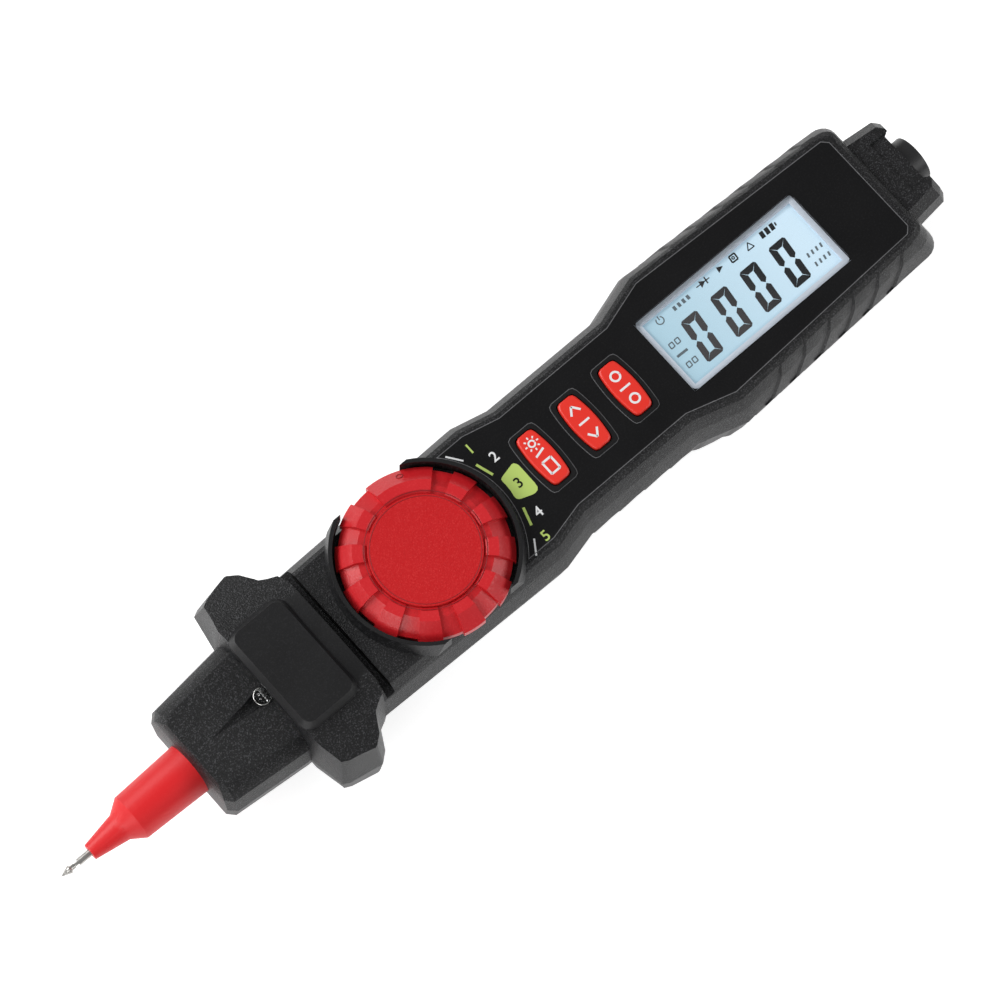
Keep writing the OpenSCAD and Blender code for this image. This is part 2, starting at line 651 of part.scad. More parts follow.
module rear_shell() color(black) at_origin() difference() {
    union() {
        difference() {
            trimmed(-cut, part_z) {
                rear_body();
                rear_nose();
                rear_guard();
                rear_crown();
            }
            cavity(side_in, cavity_x + wall, low_roof_z, part_z + cut);
            cavity(low_side_in, cavity_x + wall, floor_z, part_z);
            difference() {
                nose_room(nose_floor_z, part_z + cut);
                socket_ribs(nose_floor_z - cut, part_z + 2 * cut);
            }
        }
        // Bay for the cells, its rim and the screw bosses
        block(cells_room_x - bay_wall, cells_room_end_x + bay_wall, -cells_room_w / 2 - bay_wall,
            cells_room_w / 2 + bay_wall, floor_z - weld, bay_roof_z + bay_wall);
        block(cover_x - bay_wall, cover_end_x + bay_wall, -cells_room_w / 2 - bay_wall,
            cells_room_w / 2 + bay_wall, floor_z - weld, 2 * cover_t + hook_t);
        post(cover_screw_x, 0, floor_z, floor_z + cover_boss_h, boss_r);
        for (i = [2, 3])
            post(case_screw_places[i].x, case_screw_places[i].y, floor_z - weld, part_z, boss_r);
    }
    block(cells_room_x, cells_room_end_x, -cells_room_w / 2, cells_room_w / 2, -cut, bay_roof_z);
    cover_bar(cover_x - fit, cover_end_x + fit, fit, cut);
    hooks(fit);
    post(cover_screw_x, 0, 0, floor_z + cover_boss_h - wall, screw_r + fit);
    for (s = [-1, 1]) block(cells_room_end_x - plate_t - 2 * fit, cells_room_end_x,
        s * cell_y - plate_tab_w / 2 - fit, s * cell_y + plate_tab_w / 2 + fit,
        bay_roof_z - cut, board_bottom);
    for (p = case_screw_places) {
        post(p.x, p.y, -cut, part_z + cut, screw_r + slot_gap);
        post(p.x, p.y, -cut, p.z, screw_head_r + slot_gap);
    }
    rod(probe_out - cut, nose_room_x + cut, sleeve_r + fit);
    rod(socket_x - cut, socket_x + socket_l + cut, socket_r + fit);
    rod(cavity_end_x - cut, overall_len + cut, jack_r + fit, jack_z);
}

module battery_cover() color(black) at_origin() difference() {
    union() {
        cover_bar(cover_x, cover_end_x, 0, 0);
        for (s = [-1, 1]) {
            block(cells_room_x + 2 * fit, cells_room_x + hook_t,
                s * cell_y - hook_w / 2, s * cell_y + hook_w / 2,
                cover_t / 2, cover_t + cell_gap + hook_t);
            block(cells_room_x - hook_l, cells_room_x + hook_t,
                s * cell_y - hook_w / 2, s * cell_y + hook_w / 2,
                cover_t + cell_gap, cover_t + cell_gap + hook_t);
        }
    }
    post(cover_screw_x, 0, -cut, cover_t + cut, screw_r + slot_gap);
    post(cover_screw_x, 0, -cut, cover_t / 2, screw_head_r + slot_gap);
}

// Head below its seat with a cross recess, shank above it
cross_w = 0.5;
cross_l = 2.2;
cross_depth = 0.4;
module screw(head_r, head_h, shank_r, shank_l) difference() {
    union() {
        translate([0, 0, -head_h]) cylinder(h = head_h, r = head_r);
        translate([0, 0, -head_h / 2]) cylinder(h = shank_l + head_h / 2, r = shank_r);
    }
    for (a = [0, 90]) rotate([0, 0, a])
        block(-cross_l / 2, cross_l / 2, -cross_w / 2, cross_w / 2, -head_h - cut, cross_depth - head_h);
}
module battery_cover_screw() color(steel) at_origin() translate([cover_screw_x, 0, cover_t / 2])
    screw(screw_head_r, cover_t / 2, screw_r, floor_z + cover_boss_h - wall - cover_t / 2 - fit);
module case_screws() color(steel) at_origin() for (p = case_screw_places) translate(p)
    screw(screw_head_r, screw_head_h, screw_r, part_z + screw_bite - p.z - fit);

module front_overlay() color(gloss_black) at_origin() difference() {
    translate([0, 0, face_z - overlay_t]) linear_extrude(overlay_t) difference() {
        overlay_outline();
        for (i = [0 : 2]) translate([button_x + i * button_pitch, 0]) polygon(barrel(button_rim));
    }
    display_rect(fit, face_z - overlay_t - cut, face_z + cut);
}

// Display stack, from the window down to the board
window_t = 0.8;
bezel_lip_t = 0.5;
bezel_wall = 0.5;
glass_t = 2;
strip_w = 1.6;
window_z = face_z - window_t;
lip_z = window_z - bezel_lip_t;
glass_z = lip_z - glass_t;
module display_window() color(clear) at_origin() display_rect(0, window_z, face_z);
module display_bezel() color(pale) at_origin() difference() {
    display_rect(0, board_top, window_z);
    display_rect(-display_border, board_top - cut, window_z + cut);
    display_rect(-bezel_wall, board_top - cut, lip_z);
}
module lcd_glass() color([0.75, 0.85, 0.90]) at_origin() display_rect(-bezel_wall - fit, glass_z, lip_z);
strip_y = display_y + display_w / 2 - bezel_wall - fit - strip_w;
module backlight_panel() color(pale) at_origin()
    block(display_x + bezel_wall + fit, display_x + display_l - bezel_wall - fit,
        display_y - display_w / 2 + bezel_wall + fit, strip_y - fit, board_top, glass_z);
module zebra_strip() color([0.5, 0.5, 0.52]) at_origin()
    block(display_x + 2 * bezel_wall, display_x + display_l - 2 * bezel_wall, strip_y, strip_y + strip_w,
        board_top, glass_z);

module main_board() color(board_green) at_origin() difference() {
    translate([0, 0, board_bottom]) linear_extrude(board_t) polygon(both_sides([
        for (x = concat([board_x],
            [for (s = stations) if (s.x > board_x && s.x < board_end_x) s.x], [board_end_x]))
            [x, half_width(x) - side_in - board_side]]));
    for (p = board_screw_places) post(p.x, p.y, board_bottom - cut, board_top + cut, board_screw_r + fit);
    for (s = [-1, 1])
        post(led_lead_x, s * led_lead_y, board_bottom - cut, board_top + cut, led_lead_r + fit);
}
module board_screws() color(steel) at_origin()
    for (p = board_screw_places) translate([p.x, p.y, board_bottom])
    screw(board_screw_head_r, board_screw_head_h, board_screw_r, board_t + board_gap - fit);

// Parts on the underside of the board, between the dial and the cells
chip_w = 10;
chip_t = 1.4;
chip_setback = 17.6;
chip_x = dial_x + chip_setback;
chip_leg_w = 0.5;
chip_leg_t = 0.3;
chip_leg_l = 1.1;
chip_legs = 8;
module main_chip() color(gloss_black) at_origin() translate([chip_x, 0, board_bottom]) {
    block(-chip_w / 2, chip_w / 2, -chip_w / 2, chip_w / 2, -chip_t, -chip_leg_t / 2);
    for (a = [0 : 90 : 270], i = [0 : chip_legs - 1]) rotate([0, 0, a])
        translate([0, chip_w * (i + 1 / 2 - chip_legs / 2) / (chip_legs + 1), 0])
            block(chip_w / 2 - chip_leg_l / 2, chip_w / 2 + chip_leg_l,
                -chip_leg_w / 2, chip_leg_w / 2, -chip_leg_t, 0);
}
crystal_l = 10.8;
crystal_w = 4.4;
crystal_h = 3.4;
crystal_gap = 6;
crystal_x = chip_x + chip_w / 2 + crystal_gap;
module crystal() color(steel) at_origin() translate([crystal_x, 0, board_bottom - crystal_h])
    linear_extrude(crystal_h) polygon(rounded(crystal_w, crystal_l, crystal_w / 2 - fit));
capacitor_r = 2;
capacitor_h = 5;
capacitor_gap = 0.5;
capacitor_x = chip_x - chip_w / 2 - chip_leg_l - capacitor_r - capacitor_gap;
capacitor_pitch = 6;
module capacitors() color(gold) at_origin() for (i = [-1 : 1])
    post(capacitor_x, i * capacitor_pitch, board_bottom - capacitor_h, board_bottom, capacitor_r);
resistor_l = 6.4;
resistor_w = 3.2;
resistor_h = 1;
resistor_gap = 3;
resistor_x = board_screw_x + resistor_gap;
resistor_pitch = 4.6;
module divider_resistors() color(gloss_black) at_origin()
    for (i = [0 : 3]) let (y = (i - 3 / 2) * resistor_pitch)
    block(resistor_x - resistor_l / 2, resistor_x + resistor_l / 2, y - resistor_w / 2, y + resistor_w / 2,
        board_bottom - resistor_h, board_bottom);
buzzer_r = 6;
buzzer_h = 3.2;
buzzer_shift = 1;
buzzer_x = dial_x - buzzer_shift;
buzzer_hole_r = 0.8;
module buzzer() color(gloss_black) at_origin() difference() {
    post(buzzer_x, 0, board_bottom - buzzer_h, board_bottom, buzzer_r);
    post(buzzer_x, 0, board_bottom - buzzer_h - cut, board_bottom - buzzer_h / 2, buzzer_hole_r);
}
ptc_r = 2.5;
ptc_t = 4;
module ptc_resistor() color([0.85, 0.65, 0.2]) at_origin()
    post(buzzer_x - ptc_r, buzzer_r + 1.5 * ptc_r, board_bottom - ptc_t, board_bottom, ptc_r);

// Dial
knob_bottom = well_floor_z + slot_gap;
cap_proud = 0.1;
lug_foot_h = 1.9;
lug_slope = 3.1;
knob_top = face_z + dial_h - cap_proud;
lug_foot_z = knob_bottom + lug_foot_h;
lug_flat_r = dial_r - lug_slope;
hollow_drop = 0.8;
hollow_flat = 1.8;
rim_flat = 0.8;
hollow_flat_r = cap_r + hollow_flat;
rim_in_r = cap_r + rim_flat;
rim_drop = 0.5;
cap_t = 1.4;
cap_recess_z = face_z + dial_h - cap_t;
// A hollow between two lugs; the pointer stands where one is left out
module dial_hollow(middle) let (angle = 360 / lug_count - lug_angle) translate([dial_x, 0, 0])
    rotate([0, 0, middle - angle / 2]) rotate_extrude(angle = angle) polygon([
        [hollow_r, knob_bottom - cut], [dial_r + cut, knob_bottom - cut], [dial_r + cut, knob_top + cut],
        [cap_r - weld, knob_top + cut], [cap_r - weld, knob_top - hollow_drop],
        [hollow_flat_r, knob_top - hollow_drop],
        [hollow_r, lug_foot_z - hollow_drop / 4]]);
module dial_knob() color(red) at_origin() difference() {
    union() {
        translate([dial_x, 0, 0]) rotate_extrude() polygon([[0, knob_bottom], [dial_r, knob_bottom],
            [dial_r, lug_foot_z], [lug_flat_r, knob_top], [rim_in_r, knob_top], [cap_r, knob_top - rim_drop],
            [cap_r, cap_recess_z], [0, cap_recess_z]]);
        post(dial_x, 0, rotor_top, knob_bottom + weld, hub_r);
        translate([dial_x, 0, 0])
            block(-square_w / 2, square_w / 2, -square_w / 2, square_w / 2,
                rotor_bottom + slot_gap, rotor_top + weld);
    }
    for (i = [1 : lug_count - 1]) dial_hollow(pointer_angle + i * 360 / lug_count);
    post(dial_x, 0, rotor_bottom - cut, knob_bottom, screw_r + fit);
}
module dial_cap() color(red) at_origin() post(dial_x, 0, cap_recess_z, cap_recess_z + cap_t, cap_r - fit);
ball_pocket_depth = 1.5;
module at_detents(z) for (a = [30, 210])
    translate([dial_x + detent_r * cos(a), detent_r * sin(a), z]) children();
module dial_rotor() color(pale) at_origin() difference() {
    post(dial_x, 0, rotor_bottom, rotor_top, rotor_r);
    translate([dial_x, 0, 0]) block(
        -square_w / 2 - fit, square_w / 2 + fit, -square_w / 2 - fit, square_w / 2 + fit,
        rotor_bottom + slot_gap, rotor_top + cut);
    post(dial_x, 0, rotor_bottom - cut, rotor_top, screw_r + slot_gap);
    at_detents(rotor_top - ball_pocket_depth) cylinder(h = ball_pocket_depth + cut, r = ball_r + fit);
}
rotor_head_h = 1.1;
module rotor_screw() color(steel) at_origin() translate([dial_x, 0, rotor_bottom])
    screw(screw_head_r, rotor_head_h, screw_r, knob_bottom - rotor_bottom - fit);
module detent_balls() color(steel) at_origin() at_detents(track_z) sphere(ball_r);
detent_spring_r = 0.5;
detent_wire = 0.08;
module detent_springs() color(steel) at_origin() at_detents(rotor_top - ball_pocket_depth)
    coil(ball_pocket_depth + slot_gap - ball_r - fit, 3, detent_wire, detent_spring_r, detent_spring_r);
// Three bridges on the rotor's underside that wipe the board
bridge_in = 5;
bridge_l = 5;
bridge_w = 1.2;
bridge_t = 0.3;
bridge_foot = 1;
module rotor_contacts() color(gold) at_origin() translate([dial_x, 0, 0])
    for (a = [0, 120, 240]) rotate([0, 0, a]) {
    block(bridge_in, bridge_in + bridge_l, -bridge_w / 2, bridge_w / 2,
        rotor_bottom - bridge_t, rotor_bottom);
    for (r = [bridge_in, bridge_in + bridge_l - bridge_foot])
        block(r, r + bridge_foot, -bridge_w / 2, bridge_w / 2, board_top + fit, rotor_bottom - bridge_t / 2);
}

// Buttons, each on a plunger that slides in its switch
flange_out = 0.8;
flange_t = 0.7;
flange_z = roof_z - slot_gap - flange_t;
button_top = face_z + button_rise;
button_chamfer = 0.25;
plunger_r = 1.7;
plunger_l = 1.5;
switch_w = 6;
switch_gap = 0.1;
switch_h = flange_z - button_travel - switch_gap - board_top;
switch_floor = 1;
dome_rise = 0.5;
dome_t = 0.15;
module button(i) translate([button_x + i * button_pitch, 0, 0]) {
    translate([0, 0, flange_z]) linear_extrude(flange_t) polygon(barrel(flange_out));
    translate([0, 0, flange_z]) linear_extrude(button_top - button_chamfer - flange_z) polygon(barrel(0));
    loft([lifted(barrel(0), button_top - button_chamfer), lifted(barrel(-button_chamfer), button_top)]);
}
module plunger(i) post(button_x + i * button_pitch, 0, flange_z - plunger_l, flange_z, plunger_r);
module hold_button() color(button_red) at_origin() button(0);
module range_button() color(button_red) at_origin() button(1);
module select_button() color(button_red) at_origin() button(2);
module hold_plunger() color(pale) at_origin() plunger(0);
module range_plunger() color(pale) at_origin() plunger(1);
module select_plunger() color(pale) at_origin() plunger(2);
module switch_bodies() color(gloss_black) at_origin() at_buttons(board_top) difference() {
    block(-switch_w / 2, switch_w / 2, -switch_w / 2, switch_w / 2, 0, switch_h);
    translate([0, 0, switch_floor]) cylinder(h = switch_h, r = plunger_r + fit);
}
dome_r = plunger_r - fit;
dome_curve_r = (dome_r * dome_r + dome_rise * dome_rise) / 2 / dome_rise;
module switch_domes() color(steel) at_origin() at_buttons(board_top + switch_floor) intersection() {
    cylinder(h = dome_rise, r = dome_r);
    translate([0, 0, dome_rise - dome_curve_r]) difference() {
        sphere(dome_curve_r);
        sphere(dome_curve_r - dome_t);
    }
}

// Probe: spear tip on a thin neck, sprung in its barrel, with a 4 mm plug at the back
spear_r = 0.85;
spear_l = 2;
spear_back = 0.45;
shank_r = 0.5;
neck_r = 0.35;
neck_x = 3.2;
barrel_x = 4;
neck_l = 2;
piston_l = 5;
sleeve_x = 6.8;
sleeve_cone_x = 13.8;
sleeve_body_x = 16.5;
sleeve_draft = 0.5;
sleeve_in = 6;
plug_out = 2;
sleeve_flange = 0.4;
sleeve_body_r = sleeve_r - sleeve_draft;
sleeve_end_x = probe_out + sleeve_in;
plug_x = probe_out - plug_out;
sleeve_flange_r = sleeve_r + sleeve_flange;
sleeve_flange_t = 1.5;
spring_seat_x = 20;
// Turns a profile of [x, r] about the probe axis
module turned(profile)
    translate([0, 0, axis_z]) rotate([0, 90, 0]) rotate_extrude() polygon([for (p = profile) [p.y, p.x]]);
module probe_tip() color(steel) at_origin() difference() {
    turned([[0, 0], [spear_l, spear_r], [spear_l + spear_back, shank_r], [neck_x, shank_r], [neck_x, neck_r],
        [neck_x + neck_l, neck_r], [neck_x + neck_l, shank_r], [neck_x + neck_l + piston_l, shank_r],
        [neck_x + neck_l + piston_l, 0]]);
    rod(neck_x + 2 * neck_l, barrel_x + neck_l + piston_l, neck_r);
}
module probe_barrel() color(steel) at_origin() difference() {
    union() {
        rod(barrel_x, plug_x + plug_r, barrel_r);
        rod(plug_x, socket_x + socket_l - socket_end_t - fit, plug_r);
    }
    rod(barrel_x - cut, spring_seat_x, shank_r + fit);
}
probe_wire = 0.06;
module probe_spring() color(steel) at_origin() let (x0 = neck_x + 2 * neck_l + tip_travel + slot_gap)
    translate([x0, 0, axis_z]) rotate([0, 90, 0])
        coil(spring_seat_x - x0, 12, probe_wire, neck_r - probe_wire - fit, neck_r - probe_wire - fit);
module probe_sleeve() color(red) at_origin() difference() {
    union() {
        turned([[sleeve_x, 0], [sleeve_x, sleeve_tip_r], [sleeve_cone_x, sleeve_neck_r],
            [sleeve_body_x, sleeve_body_r], [probe_out, sleeve_r], [sleeve_end_x, sleeve_r],
            [sleeve_end_x, 0]]);
        rod(nose_room_x + fit, nose_room_x + fit + sleeve_flange_t, sleeve_flange_r);
    }
    rod(sleeve_x - cut, sleeve_end_x + cut, barrel_r + fit);
    rod(plug_x - fit, sleeve_end_x + cut, plug_r + fit);
}
tag_t = 0.6;
tag_w = 1.6;
tag_l = 2;
module probe_socket() color(gold) at_origin() {
    difference() {
        rod(socket_x, socket_x + socket_l, socket_r);
        rod(socket_x - cut, socket_x + socket_l - socket_end_t, plug_r + fit);
    }
    block(socket_x + socket_l - socket_end_t / 2, board_x + tag_l, -tag_w / 2, tag_w / 2,
        board_bottom - tag_t, board_bottom);
}

module torch_led() color(clear) at_origin() {
    intersection() {
        translate([led_x + led_r, 0, led_z]) sphere(led_r);
        rod(led_x - cut, led_x + led_r, 2 * led_r, led_z);
    }
    rod(led_x + led_r, led_end_x, led_r, led_z);
    rod(led_end_x - led_flange_t, led_end_x, led_flange_r, led_z);
}
led_bend_x = led_end_x + led_room_l / 2;
module led_leads() color(steel) at_origin() for (s = [-1, 1]) let (y = s * led_lead_y) {
    rod(led_end_x, led_bend_x, led_lead_r, led_z, y);
    rod(led_bend_x, led_lead_x, led_lead_r, led_lead_z, y);
    post(led_bend_x, y, led_lead_z, led_z, led_lead_r);
    post(led_lead_x, y, board_bottom - tag_t, led_lead_z, led_lead_r);
    for (p = [[led_bend_x, led_z], [led_bend_x, led_lead_z], [led_lead_x, led_lead_z]])
        translate([p.x, y, p.y]) sphere(led_lead_r);
}

module com_socket() color(gloss_black) at_origin() difference() {
    rod(jack_x, overall_len, jack_r, jack_z);
    difference() {
        rod(jack_x + jack_floor_t, overall_len + cut, jack_recess_r, jack_z);
        rod(jack_x, overall_len - jack_post_setback, jack_post_r, jack_z);
    }
    rod(jack_x - cut, overall_len + cut, contact_r + fit, jack_z);
}
contact_floor_t = overall_len - contact_setback - jack_depth - jack_x;
module com_contact() color(steel) at_origin() {
    difference() {
        rod(jack_x, overall_len - contact_setback, contact_r, jack_z);
        rod(jack_x + contact_floor_t, overall_len, jack_bore_r, jack_z);
    }
    block(board_end_x - tag_l, jack_x + contact_floor_t / 2, -tag_w / 2, tag_w / 2,
        board_bottom - tag_t, board_bottom);
}

// Cells lie side by side, head to tail, and bear on a plate at each end
nub_r = 1.9;
nub_h = 1;
cells_start_x = cells_room_x + plate_t + fit;
module cell() {
    rod(0, cell_l - nub_h, cell_r, 0);
    rod(cell_l - nub_h - fit, cell_l, nub_r, 0);
}
module left_cell() color(gold) at_origin()
    translate([cells_start_x + cell_spring_l, cell_y, cell_z]) cell();
module right_cell() color(gold) at_origin()
    translate([cells_start_x + cell_l, -cell_y, cell_z]) mirror([1, 0, 0]) cell();
cell_wire = 0.25;
cell_spring_r0 = 3.6;
cell_spring_r1 = 2.2;
module cell_springs() color(steel) at_origin() {
    translate([cells_start_x + fit, cell_y, cell_z]) rotate([0, 90, 0])
        coil(cell_spring_l - 2 * fit, 4, cell_wire, cell_spring_r0, cell_spring_r1);
    translate([cells_start_x + cell_l + cell_spring_l - fit, -cell_y, cell_z]) rotate([0, -90, 0])
        coil(cell_spring_l - 2 * fit, 4, cell_wire, cell_spring_r0, cell_spring_r1);
}
plate_bottom = cover_t + cell_gap + hook_t + 2 * fit;
module cell_plates() color(steel) at_origin() {
    block(cells_room_x + fit, cells_start_x, -2 * cell_r, 2 * cell_r, plate_bottom, bay_roof_z - fit);
    for (s = [-1, 1]) {
        block(cells_room_end_x - plate_t - fit, cells_room_end_x - fit, s * cell_y - cell_r + cell_gap,
            s * cell_y + cell_r - cell_gap, plate_bottom, bay_roof_z - fit);
        block(cells_room_end_x - plate_t - fit, cells_room_end_x - fit, s * cell_y - plate_tab_w / 2,
            s * cell_y + plate_tab_w / 2, bay_roof_z - cut, board_bottom);
    }
}

front_shell();
rear_shell();
battery_cover();
battery_cover_screw();
case_screws();
front_overlay();
display_window();
display_bezel();
lcd_glass();
backlight_panel();
zebra_strip();
main_board();
board_screws();
main_chip();
crystal();
capacitors();
divider_resistors();
ptc_resistor();
buzzer();
dial_knob();
dial_cap();
dial_rotor();
rotor_screw();
rotor_contacts();
detent_balls();
detent_springs();
hold_button();
range_button();
select_button();
hold_plunger();
range_plunger();
select_plunger();
switch_bodies();
switch_domes();
probe_sleeve();
probe_barrel();
probe_tip();
probe_spring();
probe_socket();
torch_led();
led_leads();
com_socket();
com_contact();
left_cell();
right_cell();
cell_springs();
cell_plates();
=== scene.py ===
"""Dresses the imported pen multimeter: plastics, metals, print, display and a plain studio."""

import json
import logging
import math
from dataclasses import dataclass
from enum import Enum
from typing import Callable, Iterable, Sequence

import bpy
from mathutils import Matrix, Vector

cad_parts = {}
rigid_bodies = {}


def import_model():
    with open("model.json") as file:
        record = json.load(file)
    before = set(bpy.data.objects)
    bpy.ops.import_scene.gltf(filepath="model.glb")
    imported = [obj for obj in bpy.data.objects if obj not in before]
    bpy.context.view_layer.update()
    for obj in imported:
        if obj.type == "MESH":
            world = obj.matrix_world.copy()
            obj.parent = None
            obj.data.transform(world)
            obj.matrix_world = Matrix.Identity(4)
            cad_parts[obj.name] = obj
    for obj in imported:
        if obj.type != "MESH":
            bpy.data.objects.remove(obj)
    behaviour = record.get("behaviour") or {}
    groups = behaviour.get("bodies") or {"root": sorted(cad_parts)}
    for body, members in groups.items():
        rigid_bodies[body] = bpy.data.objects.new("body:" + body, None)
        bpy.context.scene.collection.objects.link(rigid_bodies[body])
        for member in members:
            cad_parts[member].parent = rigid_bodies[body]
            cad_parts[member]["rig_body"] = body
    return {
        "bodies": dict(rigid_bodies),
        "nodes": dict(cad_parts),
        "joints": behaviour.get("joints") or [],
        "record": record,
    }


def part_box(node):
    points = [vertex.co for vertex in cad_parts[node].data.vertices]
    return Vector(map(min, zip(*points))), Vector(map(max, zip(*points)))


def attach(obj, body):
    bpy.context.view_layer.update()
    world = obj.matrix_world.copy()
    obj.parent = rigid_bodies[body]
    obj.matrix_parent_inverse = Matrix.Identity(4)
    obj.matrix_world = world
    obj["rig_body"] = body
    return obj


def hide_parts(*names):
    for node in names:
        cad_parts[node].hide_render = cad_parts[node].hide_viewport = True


LOG = logging.getLogger("pen_multimeter")
MM = 0.001
MERGE = 0.002 * MM
ORIGIN_X = 104.0  # millimetres from the probe tip to the frame's origin

Color = tuple[float, float, float]
Point = tuple[float, float, float]
Spot = tuple[float, float]
Piece = bpy.types.Object
Tree = bpy.types.NodeTree
Socket = bpy.types.NodeSocket


class Body(Enum):
    """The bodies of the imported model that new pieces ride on."""

    CASE = "case"
    DIAL = "dial"
    HOLD = "hold_key"
    RANGE = "range_key"
    SELECT = "select_key"


class Bench:
    """Hand tools: selection, edit mode and modifiers, all through Blender's own operators."""

    @staticmethod
    def clear_selection() -> None:
        """Deselects every object."""
        bpy.ops.object.select_all(action="DESELECT")

    @classmethod
    def take(cls, piece: Piece) -> None:
        """Makes one object the only selected and active one.

        Args:
            piece: The object to work on.
        """
        cls.clear_selection()
        piece.select_set(True)
        bpy.context.view_layer.objects.active = piece

    @classmethod
    def in_edit(cls, piece: Piece, *steps: Callable[[], object]) -> None:
        """Runs operators in edit mode.

        Args:
            piece: The mesh to edit.
            *steps: Calls that run one after another with the mesh's current selection.
        """
        cls.take(piece)
        bpy.context.tool_settings.mesh_select_mode = (False, False, True)
        bpy.ops.object.mode_set(mode="EDIT")
        for step in steps:
            step()
        bpy.ops.object.mode_set(mode="OBJECT")

    @staticmethod
    def select_all() -> None:
        """Selects the whole mesh in edit mode."""
        bpy.ops.mesh.select_all(action="SELECT")

    @classmethod
    def bare_copy(cls, source: Piece, name: str, *steps: Callable[[], object]) -> Piece:
        """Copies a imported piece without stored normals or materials, its corners welded.

        Args:
            source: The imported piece.
            name: Name of the copy.
            *steps: Further calls in edit mode, with the whole mesh selected.

        Returns:
            The copy.
        """
        mesh = source.data.copy()
        mesh.materials.clear()
        mesh.name = name
        piece = bpy.data.objects.new(name, mesh)
        bpy.context.scene.collection.objects.link(piece)
        cls.take(piece)
        if mesh.has_custom_normals:
            bpy.ops.mesh.customdata_custom_splitnormals_clear()
        cls.in_edit(
            piece, cls.select_all, lambda: bpy.ops.mesh.remove_doubles(threshold=MERGE), *steps
        )
        return piece

    @classmethod
    def select_faces(cls, piece: Piece, chosen: Callable[[bpy.types.MeshPolygon], bool]) -> None:
        """Selects the faces that a test picks, and nothing else.

        Args:
            piece: The mesh.
            chosen: The test, given a face.
        """
        mesh = piece.data
        for vertex in mesh.vertices:
            vertex.select = False
        for edge in mesh.edges:
            edge.select = False
        for face in mesh.polygons:
            face.select = chosen(face)

    @classmethod
    def modify(cls, piece: Piece, kind: str, **settings: object) -> None:
        """Adds a modifier, sets it and applies it.

        Args:
            piece: The object to change.
            kind: The modifier's type.
            **settings: Its properties.
        """
        cls.take(piece)
        modifier = piece.modifiers.new(kind.lower(), kind)
        for key, value in settings.items():
            setattr(modifier, key, value)
        bpy.ops.object.modifier_apply(modifier=modifier.name)

    @classmethod
    def soften(cls, piece: Piece, angle: float) -> None:
        """Shades a piece smoothly up to an angle, with flats kept flat.

        Args:
            piece: The mesh.
            angle: Largest angle in degrees that is shaded smoothly.
        """
        cls.take(piece)
        bpy.ops.object.shade_smooth_by_angle(angle=math.radians(angle))
        cls.modify(piece, "WEIGHTED_NORMAL", weight=80, keep_sharp=True)

    @classmethod
    def settle(cls, piece: Piece) -> None:
        """Puts a piece's place into its mesh and leaves its object at the origin."""
        cls.take(piece)
        bpy.ops.object.transform_apply(location=True, rotation=True, scale=True)

    @classmethod
    def join(cls, pieces: Sequence[Piece]) -> Piece:
        """Joins meshes into one.

        Args:
            pieces: The meshes, the first of which stays.

        Returns:
            The joined piece.
        """
        cls.take(pieces[0])
        for piece in pieces[1:]:
            piece.select_set(True)
        bpy.ops.object.join()
        return pieces[0]


@dataclass(frozen=True)
class Finish:
    """A material: colours, gloss and grain, and a slot name that is not used; lengths in
    millimetres.
    """

    name: str
    color: Color
    second: Color | None = None
    roughness: float = 0.45
    roughness_swing: float = 0.08
    metallic: float = 0.0
    specular: float = 0.5
    grain: float = 0.3
    grain_depth: float = 0.25
    grain_height: float = 0.1
    speckle: float = 0.0
    cloud: float = 12.0
    cloud_share: float = 0.25
    alpha: float = 1.0
    transmission: float = 0.0
    ior: float = 1.5
    glow: float = 0.0
    emission: Color | None = None
    fade_from: Point | None = None
    fade_to: Point | None = None
    slot: str = ""


class Wires:
    """Small steps that every node tree needs."""

    @staticmethod
    def fill(node: bpy.types.Node, values: dict[str | int, object]) -> None:
        """Sets plain values on a node's inputs, by name or number."""
        for socket, value in values.items():
            node.inputs[socket].default_value = value

    @classmethod
    def math(cls, tree: Tree, operation: str, *inputs: float | Socket) -> bpy.types.Node:
        """Adds a Math node.

        Args:
            tree: The node tree.
            operation: What it does.
            *inputs: Its inputs in order, each a number or a socket to link.

        Returns:
            The node.
        """
        node = tree.nodes.new("ShaderNodeMath")
        node.operation = operation
        for place, value in enumerate(inputs):
            if isinstance(value, Socket):
                tree.links.new(value, node.inputs[place])
            else:
                node.inputs[place].default_value = value
        return node


